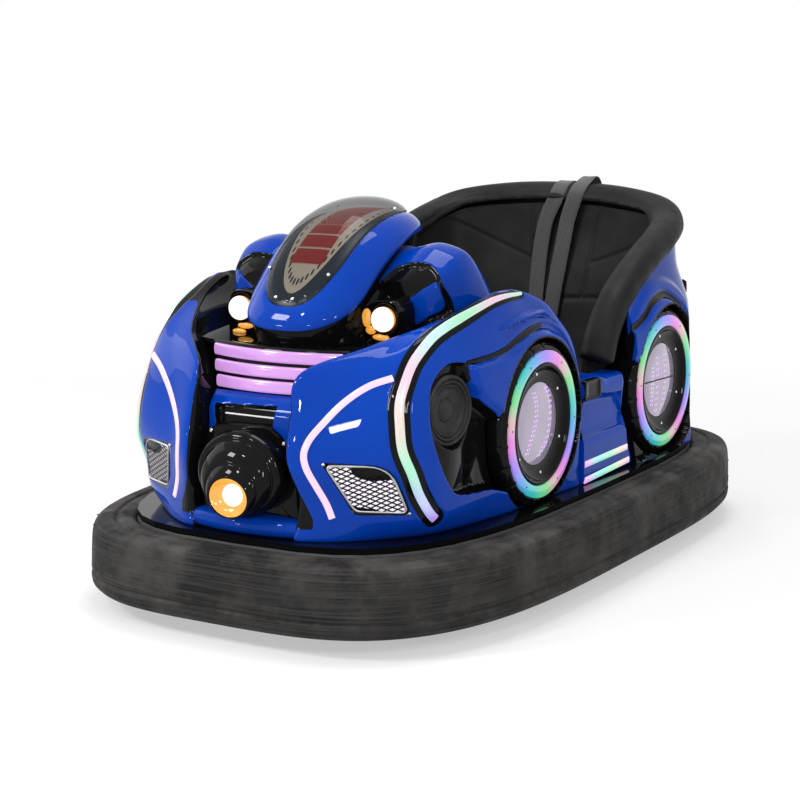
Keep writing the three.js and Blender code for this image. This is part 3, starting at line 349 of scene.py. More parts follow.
def satinBlack():
    # dull black plastic, a little dusty where it looks up
    finish = Finish("satinBlack", **{"Specular IOR Level": 0.2})
    dust = finish.group("dust", Color=(0.012, 0.012, 0.013, 1), Dust=(0.12, 0.11, 0.1, 1), Amount=0.25,
                        Scale=20.0)
    finish.link(dust.outputs["Color"], finish.shader.inputs["Base Color"])
    finish.drift("Roughness", 30.0, 0.38, 0.6)
    grain = finish.group("grain", Scale=900.0, Fine=0.4)
    finish.relief(grain.outputs[0], 0.2, 0.0003)
    return finish.material


def wornRubber():
    # dark rubber with streaks that run round the ring, dust on top and brown scuffs
    finish = Finish("wornRubber", **{"Specular IOR Level": 0.08})
    place = finish.place()
    stretch = finish.node("ShaderNodeMapping")
    stretch.inputs["Scale"].default_value = (1.2, 1.2, 90.0)
    finish.link(place, stretch.inputs["Vector"])
    streaks = finish.node("ShaderNodeTexNoise", in2=3.0, in3=6.0, in4=0.7)
    finish.link(stretch.outputs[0], streaks.inputs["Vector"])
    streakMask = finish.node("ShaderNodeMapRange", in1=0.36, in2=0.66)
    finish.link(streaks.outputs[0], streakMask.inputs[0])
    streaked = finish.shades(streakMask.outputs[0], (0.007, 0.007, 0.0072), (0.034, 0.033, 0.032), None)
    scuff = finish.group("patches", Scale=4.5, Low=-0.5, High=0.75)
    scuffed = finish.shades(scuff.outputs[0], streaked, (0.036, 0.029, 0.024), None)
    dust = finish.group("dust", Dust=(0.10, 0.093, 0.085, 1), Amount=0.62, Scale=9.0)
    finish.link(scuffed, dust.inputs["Color"])
    finish.link(dust.outputs["Color"], finish.shader.inputs["Base Color"])
    finish.drift("Roughness", 12.0, 0.5, 0.8)
    finish.relief(streaks.outputs[0], 0.35, 0.0012)
    return finish.material


def seatVinyl():
    # grained vinyl, a little greyer where it is rubbed
    finish = Finish("seatVinyl", **{"Specular IOR Level": 0.1})
    patches = finish.group("patches", Scale=7.0, Low=0.0, High=1.0)
    finish.shades(patches.outputs[0], (0.007, 0.007, 0.007), (0.017, 0.017, 0.017))
    finish.drift("Roughness", 16.0, 0.42, 0.6)
    grain = finish.group("grain", Scale=420.0, Fine=0.35)
    finish.relief(grain.outputs[0], 0.35, 0.0006)
    return finish.material


def beltWebbing():
    # ribs along the belt and a fine cross weave, from the belt's own map
    finish = Finish("beltWebbing", (0.02, 0.02, 0.021), Roughness=0.62, **{"Sheen Weight": 0.3})
    own = finish.node("ShaderNodeUVMap", uv_map="run")
    ribs = finish.node("ShaderNodeTexWave", bands_direction="X", in1=5.0)
    weave = finish.node("ShaderNodeTexWave", bands_direction="Y", in1=160.0)
    finish.link(own.outputs[0], ribs.inputs["Vector"])
    finish.link(own.outputs[0], weave.inputs["Vector"])
    both = finish.node("ShaderNodeMath", operation="MULTIPLY_ADD", in1=0.4)
    finish.link(weave.outputs["Fac"], both.inputs[0])
    finish.link(ribs.outputs["Fac"], both.inputs[2])
    finish.shades(ribs.outputs["Fac"], (0.012, 0.012, 0.013), (0.04, 0.04, 0.042))
    finish.relief(both.outputs[0], 0.6, 0.0008)
    return finish.material


def rampFinish(name, stops, repeats, glow, under=0.25):
    # a lit diffuser whose hue runs along the piece's own map
    finish = Finish(name, Roughness=0.25, **{"Coat Weight": 0.6, "Emission Strength": glow})
    own = finish.node("ShaderNodeUVMap", uv_map="run")
    split = finish.node("ShaderNodeSeparateXYZ")
    turns = finish.node("ShaderNodeMath", operation="MULTIPLY", in1=float(repeats))
    part = finish.node("ShaderNodeMath", operation="FRACT")
    ramp = finish.node("ShaderNodeValToRGB")
    ramp.color_ramp.interpolation = "EASE"
    while len(ramp.color_ramp.elements) < len(stops):
        ramp.color_ramp.elements.new(0.5)
    for element, (place, colour) in zip(ramp.color_ramp.elements, stops):
        element.position = place
        element.color = (*colour, 1)
    finish.link(own.outputs[0], split.inputs[0])
    finish.link(split.outputs["X"], turns.inputs[0])
    finish.link(turns.outputs[0], part.inputs[0])
    finish.link(part.outputs[0], ramp.inputs[0])
    cells = finish.node("ShaderNodeTexVoronoi", in2=220.0)
    finish.link(finish.place(), cells.inputs["Vector"])
    dim = finish.node("ShaderNodeMapRange", in1=0.0, in2=1.0, in3=1.0, in4=0.86)
    finish.link(cells.outputs["Distance"], dim.inputs[0])
    lit = finish.node("ShaderNodeVectorMath", operation="SCALE")
    finish.link(ramp.outputs[0], lit.inputs[0])
    finish.link(dim.outputs[0], lit.inputs["Scale"])
    finish.link(lit.outputs[0], finish.shader.inputs["Emission Color"])
    base = finish.node("ShaderNodeVectorMath", operation="SCALE")
    base.inputs["Scale"].default_value = under
    finish.link(ramp.outputs[0], base.inputs[0])
    finish.link(base.outputs[0], finish.shader.inputs["Base Color"])
    return finish.material


def plainGlow(name, colour, glow):
    # one lit colour over a darker base of the same hue
    base = tuple(c * 0.3 for c in colour)
    finish = Finish(name, base, Roughness=0.2, **{"Coat Weight": 0.6, "Emission Strength": glow})
    patches = finish.group("patches", Scale=60.0, Low=0.92, High=1.0)
    lit = finish.node("ShaderNodeVectorMath", operation="SCALE")
    lit.inputs[0].default_value = colour
    finish.link(patches.outputs[0], lit.inputs["Scale"])
    finish.link(lit.outputs[0], finish.shader.inputs["Emission Color"])
    return finish.material


def metal(name, colour, low, high):
    # bare metal whose shade and roughness drift a little
    finish = Finish(name, Metallic=1.0)
    patches = finish.group("patches", Scale=50.0, Low=0.0, High=1.0)
    finish.shades(patches.outputs[0], colour, tuple(c * 0.8 for c in colour))
    finish.drift("Roughness", 35.0, low, high)
    return finish.material


def paintedSteel():
    # grey painted steel with road dust
    finish = Finish("paintedSteel", Metallic=0.4)
    dust = finish.group("dust", Color=(0.10, 0.105, 0.11, 1), Dust=(0.2, 0.17, 0.14, 1),
                        Amount=0.6, Scale=12.0)
    finish.link(dust.outputs["Color"], finish.shader.inputs["Base Color"])
    finish.drift("Roughness", 18.0, 0.4, 0.65)
    return finish.material


def mirrorGlass():
    # a half mirror with a mauve tint; the mauve depth seen in it is a faint emission, a painted reflection
    finish = Finish("mirrorGlass", Roughness=0.08, **{"Coat Weight": 1.0, "Emission Strength": 0.35})
    patches = finish.group("patches", Scale=9.0, Low=0.0, High=1.0)
    finish.shades(patches.outputs[0], (0.22, 0.19, 0.26), (0.30, 0.25, 0.34))
    # the emission colour is painted reflection: the glow the mirror shows, not a lamp
    finish.shades(patches.outputs[0], (0.22, 0.18, 0.27), (0.34, 0.28, 0.40), "Emission Color")
    return finish.material


def displayPrint():
    # a printed panel: dark rim, pale oval with dots round it, red block with rays and bars; the printed colours
    # also glow faintly, painted light on a print that is no lamp
    finish = Finish("displayPrint", Roughness=0.3, **{"Emission Strength": 0.25})
    own = finish.node("ShaderNodeUVMap", uv_map="run")
    split = finish.node("ShaderNodeSeparateXYZ")
    finish.link(own.outputs[0], split.inputs[0])
    u, v = split.outputs["X"], split.outputs["Y"]

    def sums(kind, a, b=0.0):
        node = finish.node("ShaderNodeMath", operation=kind)
        for slot, value in enumerate((a, b)):
            if isinstance(value, (int, float)):
                node.inputs[slot].default_value = value
            else:
                finish.link(value, node.inputs[slot])
        return node.outputs[0]

    # the oval is drawn from u and v, and its dots repeat with the angle
    wide = sums("DIVIDE", u, 0.78)
    long = sums("DIVIDE", v, 0.90)
    radius = sums("SQRT", sums("ADD", sums("MULTIPLY", wide, wide), sums("MULTIPLY", long, long)))
    oval = sums("LESS_THAN", radius, 1.0)
    angle = sums("MULTIPLY", sums("ARCTAN2", wide, long), 46 / (2 * math.pi))
    beat = sums("SUBTRACT", sums("FRACT", angle), 0.5)
    away = sums("MULTIPLY", sums("SUBTRACT", radius, 0.9), 9.0)
    dot = sums("LESS_THAN", sums("ADD", sums("MULTIPLY", beat, beat), sums("MULTIPLY", away, away)), 0.09)
    block = sums("MULTIPLY", sums("LESS_THAN", sums("ABSOLUTE", u), 0.46),
                 sums("LESS_THAN", sums("ABSOLUTE", v), 0.66))
    rays = sums("ARCTAN2", u, sums("ADD", v, 0.26))
    ray = sums("LESS_THAN", sums("FRACT", sums("MULTIPLY", rays, 4.6)), 0.12)
    bars = sums("LESS_THAN", sums("FRACT", sums("MULTIPLY", v, 6.0)), 0.12)
    upper = sums("GREATER_THAN", v, -0.16)
    lines = sums("ADD", sums("MULTIPLY", ray, upper), sums("MULTIPLY", bars, sums("SUBTRACT", 1.0, upper)))
    red = sums("MULTIPLY", block, sums("SUBTRACT", 1.0, sums("MULTIPLY", lines, 0.8)))
    ground = finish.shades(oval, (0.006, 0.016, 0.028), (0.40, 0.35, 0.28), None)
    dotted = finish.shades(dot, ground, (0.02, 0.02, 0.02), None)
    whole = finish.shades(red, dotted, (0.24, 0.011, 0.009))
    # the printed colours also drive a faint emission: painted light
    finish.link(whole, finish.shader.inputs["Emission Color"])
    return finish.material


def smokedCover():
    # dark see-through plastic: a tinted clear layer with a sharp sheen that grows at the edges
    finish = Finish("smokedCover", (0.004, 0.0045, 0.005), Roughness=0.03,
                    **{"Specular IOR Level": 0.1, "Coat Weight": 1.0, "Coat IOR": 1.2})
    clear = finish.node("ShaderNodeBsdfTransparent", in0=(0.74, 0.735, 0.73, 1))
    facing = finish.node("ShaderNodeLayerWeight", in0=0.35)
    share = finish.node("ShaderNodeMapRange", in1=0.0, in2=0.9, in3=0.06, in4=0.88)
    mix = finish.node("ShaderNodeMixShader")
    finish.link(facing.outputs["Facing"], share.inputs[0])
    finish.link(share.outputs[0], mix.inputs[0])
    finish.link(clear.outputs[0], mix.inputs[1])
    finish.link(finish.shader.outputs[0], mix.inputs[2])
    finish.link(mix.outputs[0], finish.tree.nodes["Material Output"].inputs["Surface"])
    return finish.material


ringStops = [(0.0, (0.30, 0.20, 0.82)), (0.2, (0.72, 0.20, 0.66)), (0.32, (0.66, 0.42, 0.44)),
             (0.48, (0.16, 0.66, 0.26)), (0.68, (0.03, 0.52, 0.50)), (0.84, (0.07, 0.34, 0.74)),
             (1.0, (0.30, 0.20, 0.82))]
stripStops = [(0.0, (0.45, 0.80, 0.60)), (0.14, (0.80, 0.56, 0.72)), (0.28, (0.42, 0.82, 0.55)),
              (0.42, (0.58, 0.86, 0.88)), (0.56, (0.86, 0.62, 0.74)), (0.70, (0.80, 0.70, 0.62)),
              (0.82, (0.40, 0.84, 0.60)), (0.93, (0.52, 0.62, 0.90)), (1.0, (0.42, 0.30, 0.84))]
sillStops = [(0.0, (0.85, 0.45, 0.92)), (0.3, (0.35, 0.85, 0.80)), (0.6, (0.45, 0.95, 0.62)),
             (0.85, (0.95, 0.72, 0.66)), (1.0, (0.90, 0.70, 0.80))]

paint = {
    "body": paintedBody(),
    "gloss": glossBlack(),
    "satin": satinBlack(),
    "rubber": wornRubber(),
    "vinyl": seatVinyl(),
    "webbing": beltWebbing(),
    "strip": rampFinish("stripLight", stripStops, 1, 0.85),
    "ring": rampFinish("ringLight", ringStops, 3, 0.85),
    "sill": rampFinish("sillLight", sillStops, 1, 0.95),
    "pink": plainGlow("pinkLight", (0.90, 0.62, 0.80), 0.85),
    "violet": plainGlow("violetLight", (0.64, 0.32, 0.76), 0.8),
    # amber glow for the lamp bowls and the spots round the headlamp bulbs: painted reflection of the bulbs, no
    # lamps of their own
    "amberGlow": plainGlow("amberGlow", (0.95, 0.40, 0.05), 0.8),
    "white": plainGlow("whiteLight", (1.0, 0.97, 0.90), 1.3),
    # pale lavender glow on the plate behind the corner grilles, painted light for a bright grey mesh that is no
    # lamp
    "backlight": plainGlow("backlight", (0.93, 0.85, 0.95), 0.85),
    "dots": plainGlow("dotLight", (0.72, 0.42, 1.0), 1.0),
    "chrome": metal("chrome", (0.78, 0.78, 0.79), 0.12, 0.3),
    "mesh": metal("meshMetal", (0.55, 0.56, 0.58), 0.25, 0.45),
    "steel": paintedSteel(),
    "smoke": smokedCover(),
    "mirror": mirrorGlass(),
    "display": displayPrint(),
}
print("finishes made")


# points along curves and sheets, in millimetres
def smoothLine(points, count, closed=False):
    # a centripetal spline through the points; count is a number of samples or their parameters
    p = np.asarray(points, float)
    spans = len(p) if closed else len(p) - 1
    before, after = (p[-1:], p[:2]) if closed else (2 * p[:1] - p[1:2], 2 * p[-1:] - p[-2:-1])
    p = np.concatenate([before, p, after])
    if np.isscalar(count):
        t = np.linspace(0, spans, count, endpoint=not closed)
    else:
        t = np.asarray(count, float)
    i = np.minimum(t.astype(int), spans - 1)
    h = (t - i)[:, None]
    step = np.maximum(np.linalg.norm(np.diff(p, axis=0), axis=1) ** 0.5, 1e-6)[:, None]
    s0, s1, s2 = step[i], step[i + 1], step[i + 2]
    a, b, c, d = p[i], p[i + 1], p[i + 2], p[i + 3]
    ab, bc, cd = (b - a) / s0, (c - b) / s1, (d - c) / s2
    tb = (ab * s1 + bc * s0) / (s0 + s1)
    tc = (bc * s2 + cd * s1) / (s1 + s2)
    return ((2 * h ** 3 - 3 * h ** 2 + 1) * b + (h ** 3 - 2 * h ** 2 + h) * s1 * tb
            + (-2 * h ** 3 + 3 * h ** 2) * c + (h ** 3 - h ** 2) * s1 * tc)


def spread(counts, closed=False):
    # spline parameters with a chosen number of samples in each span
    steps = [i + np.arange(n) / n for i, n in enumerate(counts)]
    return np.concatenate(steps if closed else steps + [[len(counts)]])


def smoothSheet(net, rows, cols, closed=False):
    # splines along the rows of a net, then splines across them
    lines = np.array([smoothLine(row, cols, closed) for row in net])
    return smoothLine(lines.reshape(len(net), -1), rows).reshape(-1, lines.shape[1], 3)


def unit(v):
    return v / np.maximum(np.linalg.norm(v, axis=-1, keepdims=True), 1e-9)


def ease(x, low, high):
    # 0 below low, 1 above high, 3t^2 - 2t^3 between
    t = np.clip((x - low) / (high - low), 0, 1)
    return t * t * (3 - 2 * t)


def evenly(line, count):
    # the same line with its samples at equal distances
    far = np.concatenate([[0], np.cumsum(np.linalg.norm(np.diff(line, axis=0), axis=1))])
    want = np.linspace(0, far[-1], count)
    return np.stack([np.interp(want, far, line[:, k]) for k in range(line.shape[1])], 1)


def toLine(points, line, closed=False):
    # distance to a broken line, and how far along it the nearest place is
    a = np.asarray(line, float)
    b = np.roll(a, -1, 0) if closed else a[1:]
    a = a if closed else a[:-1]
    best = np.full(len(points), 1e9)
    where = np.zeros(len(points))
    for i in range(len(a)):
        ab = b[i] - a[i]
        t = np.clip(((points - a[i]) @ ab) / max(ab @ ab, 1e-9), 0, 1)
        far = np.linalg.norm(points - a[i] - t[:, None] * ab, axis=1)
        closer = far < best
        best[closer] = far[closer]
        where[closer] = i + t[closer]
    return best, where / len(a)


def toOutline(points, outline):
    # signed distance to a closed outline in a plane, negative inside
    far, _ = toLine(points, outline, True)
    a = np.asarray(outline, float)
    b = np.roll(a, -1, 0)
    inside = np.zeros(len(points), bool)
    for (ax, ay), (bx, by) in zip(a, b):
        crosses = (ay > points[:, 1]) != (by > points[:, 1])
        if ay != by:
            inside ^= crosses & (points[:, 0] < (bx - ax) * (points[:, 1] - ay) / (by - ay) + ax)
    return np.where(inside, -far, far)


def normalsOf(grid, closed=False):
    # the cross product of the two directions of the grid
    if closed:
        across = np.roll(grid, -1, 1) - np.roll(grid, 1, 1)
    else:
        across = np.gradient(grid, axis=1)
    return unit(np.cross(across, np.gradient(grid, axis=0)))


def framed(path, out, closed=False):
    # side and outward directions at each point of a path
    if closed:
        along = unit(np.roll(path, -1, 0) - np.roll(path, 1, 0))
    else:
        along = unit(np.gradient(path, axis=0))
    out = np.broadcast_to(np.asarray(out, float), path.shape)
    out = unit(out - (out * along).sum(1, keepdims=True) * along)
    return np.cross(along, out), out


def carried(path, profile, out, closed=False):
    # a profile of (side, outward) points carried along a path
    side, out = framed(path, out, closed)
    profile = np.asarray(profile, float)
    if profile.ndim == 2:
        profile = np.broadcast_to(profile, (len(path), *profile.shape))
    return path[:, None] + side[:, None] * profile[..., 0:1] + out[:, None] * profile[..., 1:2]


def turned(profile, centre, axis, count=64, start=(0, 0, 1)):
    # a profile of (radius, height) points turned round an axis
    axis = unit(np.asarray(axis, float))
    first = np.asarray(start, float)
    first = unit(first - (first @ axis) * axis)
    second = np.cross(axis, first)
    angle = np.arange(count) / count * 2 * np.pi
    ring = np.cos(angle)[:, None] * first + np.sin(angle)[:, None] * second
    profile = np.asarray(profile, float)
    return np.asarray(centre) + profile[:, None, 0:1] * ring[None] + profile[:, None, 1:2] * axis


class Shape:
    # points in millimetres, with faces, finish numbers and a map, gathered for one piece
    def __init__(self):
        self.count = 0
        self.parts = []

    def add(self, points, quads=(), tris=(), finish=0, run=None, look=None):
        points = np.asarray(points, float).reshape(-1, 3)
        quads = np.asarray(quads, int).reshape(-1, 4)
        tris = np.asarray(tris, int).reshape(-1, 3)
        run = np.zeros((len(points), 2)) if run is None else np.asarray(run, float).reshape(-1, 2)
        corners = np.concatenate([quads[:, [0, 1, 2]], quads[:, [0, 2, 3]], tris])
        a, b, c = (points[corners[:, k]] for k in range(3))
        if look is None:
            middle = points.mean(0)
            facing = np.einsum("ij,ij->i", a - middle, np.cross(b - middle, c - middle)).sum()
        else:
            facing = (np.cross(b - a, c - a) @ np.asarray(look, float)).sum()
        if facing < 0:
            quads, tris = quads[:, ::-1], tris[:, ::-1]
        self.parts.append((points, quads + self.count, tris + self.count, finish, run))
        self.count += len(points)
        return self

    def grid(self, grid, wrapRows=False, wrapCols=False, caps=False, finish=0, run=None, look=None):
        rows, cols = grid.shape[:2]
        i = np.arange(rows if wrapRows else rows - 1)[:, None]
        j = np.arange(cols if wrapCols else cols - 1)[None]
        below = ((i + 1) % rows) * cols
        beside = (j + 1) % cols
        quads = np.stack([i * cols + j, i * cols + beside, below + beside, below + j], -1)
        points, tris = grid.reshape(-1, 3), ()
        if run is None:
            u, v = np.meshgrid(np.linspace(0, 1, rows), np.linspace(0, 1, cols), indexing="ij")
            run = np.stack([u, v], -1)
        run = run.reshape(-1, 2)
        if caps:
            points = np.concatenate([points, grid[0].mean(0)[None], grid[-1].mean(0)[None]])
            run = np.concatenate([run, run[:1], run[-1:]])
            j = np.arange(cols)
            k = (j + 1) % cols
            first = np.stack([k, j, np.full(cols, rows * cols)], 1)
            last = (rows - 1) * cols + np.stack([j, k, np.full(cols, cols + 1)], 1)
            tris = np.concatenate([first, last])
        return self.add(points, quads, tris, finish, run, look)

    def ribbon(self, path, profile, out, finish=0, closed=False):
        grid = carried(path, profile, out, closed)
        far = np.concatenate([[0], np.cumsum(np.linalg.norm(np.diff(path, axis=0), axis=1))])
        u, v = np.meshgrid(far / far[-1], np.linspace(0, 1, grid.shape[1]), indexing="ij")
        return self.grid(grid, wrapRows=closed, wrapCols=True, caps=not closed, finish=finish,
                         run=np.stack([u, v], -1))

    def turn(self, profile, centre, axis, count=64, finish=0, closed=False, start=(0, 0, 1), around=0.0):
        grid = turned(profile, centre, axis, count, start)
        angle = (around - np.arange(count) / count) % 1.0
        u, v = np.meshgrid(np.linspace(0, 1, len(profile)), angle, indexing="ij")
        return self.grid(grid, wrapRows=closed, wrapCols=True, caps=not closed, finish=finish,
                         run=np.stack([v, u], -1))

    def mirrored(self):
        # the same on the other side of the car
        other = Shape()
        other.count = self.count
        other.parts = [(points * (-1, 1, 1), quads[:, ::-1], tris[:, ::-1], finish, run)
                       for points, quads, tris, finish, run in self.parts]
        return other


def setPiece(name, shape, paints, body, slot, replaces=(), sharp=38, fields=None):
    # makes the mesh, gives it its finishes and hands it to the frame
    points = np.concatenate([p[0] for p in shape.parts]) * mm
    quads = np.concatenate([p[1] for p in shape.parts])
    tris = np.concatenate([p[2] for p in shape.parts])
    finish = np.concatenate([np.full(len(p[1]), p[3]) for p in shape.parts]
                            + [np.full(len(p[2]), p[3]) for p in shape.parts])
    run = np.concatenate([p[4] for p in shape.parts])
    corners = np.concatenate([quads.ravel(), tris.ravel()])
    totals = np.concatenate([np.full(len(quads), 4), np.full(len(tris), 3)])
    mesh = bpy.data.meshes.new(name)
    mesh.vertices.add(len(points))
    mesh.vertices.foreach_set("co", points.astype(np.float32).ravel())
    mesh.loops.add(len(corners))
    mesh.loops.foreach_set("vertex_index", corners.astype(np.int32))
    mesh.polygons.add(len(totals))
    mesh.polygons.foreach_set("loop_start", (np.cumsum(totals) - totals).astype(np.int32))
    mesh.polygons.foreach_set("material_index", finish.astype(np.int32))
    # where a map runs round and starts again, the last face goes on past one
    at = run[quads]
    low, high = at[..., 0].min(1), at[..., 0].max(1)
    at[..., 0] += ((high - low > 0.5) & (low >= 0))[:, None] * (at[..., 0] < 0.5)
    own = mesh.uv_layers.new(name="run")
    flatRun = np.concatenate([at.reshape(-1, 2), run[tris.ravel()]])
    own.data.foreach_set("uv", flatRun.astype(np.float32).ravel())
    for label, values in (fields or {}).items():
        stored = mesh.attributes.new(label, "FLOAT", "POINT")
        stored.data.foreach_set("value", np.asarray(values, np.float32).ravel())
    mesh.update(calc_edges=True)
    mesh.validate()
    mesh.shade_smooth()
    mesh.set_sharp_from_angle(angle=math.radians(sharp))
    for key in paints:
        mesh.materials.append(paint[key])
    piece = bpy.data.objects.new(name, mesh)
    scene.collection.objects.link(piece)
    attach(piece, body)
    if replaces:
        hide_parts(*replaces)
    return piece


def bothSides(name, shape, paints, body, slot, replaces=(), **extra):
    # a left piece and its mirror image; a name in replaces gets each side's ending
    for side, own in (("left", shape), ("right", shape.mirrored())):
        setPiece(f"{name}_{side}", own, paints, body, slot, [f"{n}_{side}" for n in replaces], **extra)


def castOn(shape, heart, points):
    # where lines from a point inside meet the outer face of a shape
    verts = np.concatenate([p[0] for p in shape.parts])
    faces = [tuple(f) for p in shape.parts for f in np.concatenate([p[1][:, :3], p[1][:, [0, 2, 3]], p[2]])]
    tree = BVHTree.FromPolygons([tuple(v) for v in verts], faces)
    places, normals = [], []
    for target in np.asarray(points, float):
        away = unit(target - heart)
        place, normal, _, _ = tree.ray_cast(Vector(target + away * 160), Vector(-away))
        places.append(place if place else target)
        normals.append(normal if place else away)
    return np.array(places), np.array(normals)


def screw(shape, place, normal, radius=4.0, height=2.2, finish=0):
    # a low round head with a dimple in it
    place, normal = np.asarray(place, float), unit(np.asarray(normal, float))
    start = (0.3, 0.5, 0.8) if abs(normal[2]) < 0.9 else (1, 0, 0)
    head = [(1, -1.5 / height), (1, 0.35), (0.72, 0.85), (0.34, 1), (0.2, 0.4)]
    shape.turn(np.array(head) * (radius, height), place, normal, 12, finish, start=start)


# bumper ring

bumper = {
    "halfWidth": 570.0, "halfLength": 975.0, "frontPower": 3.45, "rearPower": 4.2, "segments": 420,
    "profile": [  # step inwards, height
        (8, 50), (2, 57), (0, 64), (0, 78), (3.5, 81), (3.5, 85), (0.2, 88), (0.4, 110), (1.2, 140), (2.6, 165),
        (4, 178), (7, 189), (12, 197), (20, 201), (30, 203), (46, 203.5), (50, 200), (54, 199.5), (58, 203),
        (64, 206), (78, 206), (88, 203), (95, 193), (96, 180), (96, 70), (94, 54), (84, 42), (70, 42), (26, 42),
        (14, 44)],
    "nibRows": [  # height, step inwards, number
        (187, 6.2, 46), (150, 1.6, 40), (108, 0.4, 44), (66, 0.0, 38), (202.5, 38, 30)],
    "nib": [(1.9, -2), (1.5, 0.8), (0.9, 2.0)],
}


def ovalPlan(halfWidth, halfLength, count, shift=0.0):
    # |x/a|^n + |y/b|^n = 1, squarer at the tail than at the nose
    angle = (np.arange(count) + shift) / count * 2 * np.pi
    c, s = np.cos(angle), np.sin(angle)
    power = np.where(s < 0, bumper["frontPower"], bumper["rearPower"])
    return np.stack([np.sign(c) * halfWidth * np.abs(c) ** (2 / power),
                     np.sign(s) * halfLength * np.abs(s) ** (2 / power), np.zeros(count)], 1)


def ringLoop(step, count):
    # the plan stepped inwards, with its samples at equal distances
    loop = ovalPlan(bumper["halfWidth"] - step, bumper["halfLength"] - step, 1600)
    return evenly(np.concatenate([loop, loop[:1]]), count + 1)[:-1]


def makeBumper():
    # the profile carried round the plan, with small moulding nibs left on the rubber
    shape = Shape()
    profile = smoothLine(bumper["profile"], 90, True)
    rows = [ringLoop(step, bumper["segments"]) + (0, 0, z) for step, z in profile]
    shape.grid(np.array(rows), wrapRows=True, wrapCols=True)
    for z, step, count in bumper["nibRows"]:
        loop = ringLoop(step, 1600)
        onSide = step < 20
        picks = ((np.arange(count) + rng.uniform(-0.3, 0.3, count)) / count * 1600).astype(int) % 1600
        for k in picks:
            out = unit(np.cross(loop[(k + 1) % 1600] - loop[k - 1], (0, 0, 1)))
            out = out if onSide else np.array([0, 0, 1.0])
            place = loop[k] + (0, 0, z + rng.uniform(-6, 6) * onSide)
            shape.turn(bumper["nib"], place, out, 6)
    setPiece("bumper_ring", shape, ["rubber"], "car_body", "bumper_rubber", ["bumper_tyre"])


makeBumper()
print("bumper made")


# front fenders: a smooth closed skin with its relief pressed in

coverSpot = {"front": (-238.0, 411.0), "rear": (480.0, 411.0), "face": 437.0, "pocket": 204.0,
             "pocketFloor": 381.5}
speakerSpot = {"centre": (382.0, -601.0, 496.0), "share": 0.93, "axis": (0.989, -0.149, 0.0),
               "bed": 86.0, "bedFloor": 373.5}

fender = {
    "net": [
        (228, [(150, -815), (209, -790), (312, -690), (350, -625), (395, -402), (408, -118), (408, -26),
               (344, -24), (310, -300), (155, -690)]),
        (222, [(134, -841), (209, -813), (322, -705), (362, -640), (410, -402), (424, -118), (424, -22),
               (334, -22), (300, -300), (140, -690)]),
        (262, [(140, -838), (212, -812), (366, -702), (396, -640), (422, -402), (430, -118), (424, -20),
               (334, -20), (300, -300), (140, -690)]),
        (310, [(146, -838), (208, -812), (385, -690), (408, -625), (427, -402), (431, -118), (425, -18),
               (334, -18), (300, -300), (140, -690)]),
        (405, [(131, -864), (203, -834), (370, -745), (410, -650), (429, -402), (432, -118), (425, -17),
               (334, -17), (300, -300), (140, -700)]),
        (500, [(130, -844), (206, -816), (352, -752), (398, -660), (426, -410), (431, -118), (422, -22),
               (334, -22), (305, -300), (142, -710)]),
        (590, [(137, -812), (236, -774), (342, -716), (388, -600), (418, -400), (425, -118), (408, -44),
               (340, -44), (320, -300), (190, -722)]),
        (640, [(240, -704), (290, -692), (342, -674), (384, -560), (410, -380), (414, -170), (400, -92),
               (352, -92), (342, -330), (262, -650)]),
        (690, [(335, -530), (345, -562), (360, -582), (385, -500), (405, -380), (406, -270), (400, -168),
               (374, -168), (368, -330), (345, -500)]),
        (728, [(372, -402), (379, -432), (388, -440), (396, -420), (404, -370), (405, -330), (402, -290),
               (388, -288), (384, -340), (374, -384)]),
        (736, [(382, -376), (385, -390), (389, -394), (393, -386), (397, -362), (397, -344), (395, -326),
               (389, -325), (387, -348), (383, -368)]),
    ],
    "rowCounts": [4, 14, 16, 32, 32, 32, 22, 20, 18, 5],
    "colCounts": [20, 44, 24, 80, 92, 40, 10, 10, 12, 8],
    "strip": [(405, -302, 723), (405, -352, 726), (398, -417, 721), (387, -475, 707), (377, -532, 693),
              (367, -588, 677), (359, -625, 661), (353, -661, 638), (348, -695, 610), (346, -725, 570),
              (346, -747, 529), (352, -756, 487), (359, -757, 433), (370, -737, 379), (374, -706, 321),
              (389, -667, 266)],
    "bandHalf": 25.0,
    "recess": [(-541, 592), (-581, 602), (-605, 600), (-641, 583), (-670, 556), (-688, 513), (-692, 460),
               (-677, 403), (-646, 347), (-613, 313), (-575, 304), (-520, 300), (-470, 296), (-300, 270),
               (-250, 420), (-427, 452), (-456, 474), (-509, 507), (-533, 533), (-539, 575)],
    "crease": [(-541, 594), (-492, 596), (-441, 599), (-390, 606), (-333, 622), (-279, 634), (-215, 640),
               (-153, 627), (-108, 601), (-74, 561), (-48, 520)],
    "arch": [(-536, 592), (-492, 592), (-441, 594), (-390, 600), (-333, 616), (-279, 627), (-215, 633),
             (-153, 620), (-108, 594), (-74, 554), (-48, 512), (-34, 470), (-34, 380), (-238, 380), (-427, 452),
             (-456, 474), (-509, 507), (-533, 533)],
    "scoop": [(-413, 652), (-391, 664), (-317, 680), (-231, 681), (-180, 672), (-146, 652), (-118, 630),
              (-170, 648), (-207, 655), (-303, 652), (-370, 645)],
    "grille": [(208, -828, 396), (330, -765, 393), (352, -722, 286), (258, -790, 286)],
    "noseStrip": [(318, -728, 580), (275, -753, 562), (235, -788, 530), (203, -821, 490), (176, -846, 448),
                  (168, -850, 420), (172, -850, 392), (185, -832, 351), (204, -812, 300), (212, -806, 276)],
    "heart": (200.0, -330.0, 470.0), "noseHeart": (60.0, -300.0, 430.0),
    "noseCorner": [(100, 450), (122, 430), (134, 400), (152, 330), (177, 272), (177, 250), (100, 250)],
    "reach": 436.0,
}


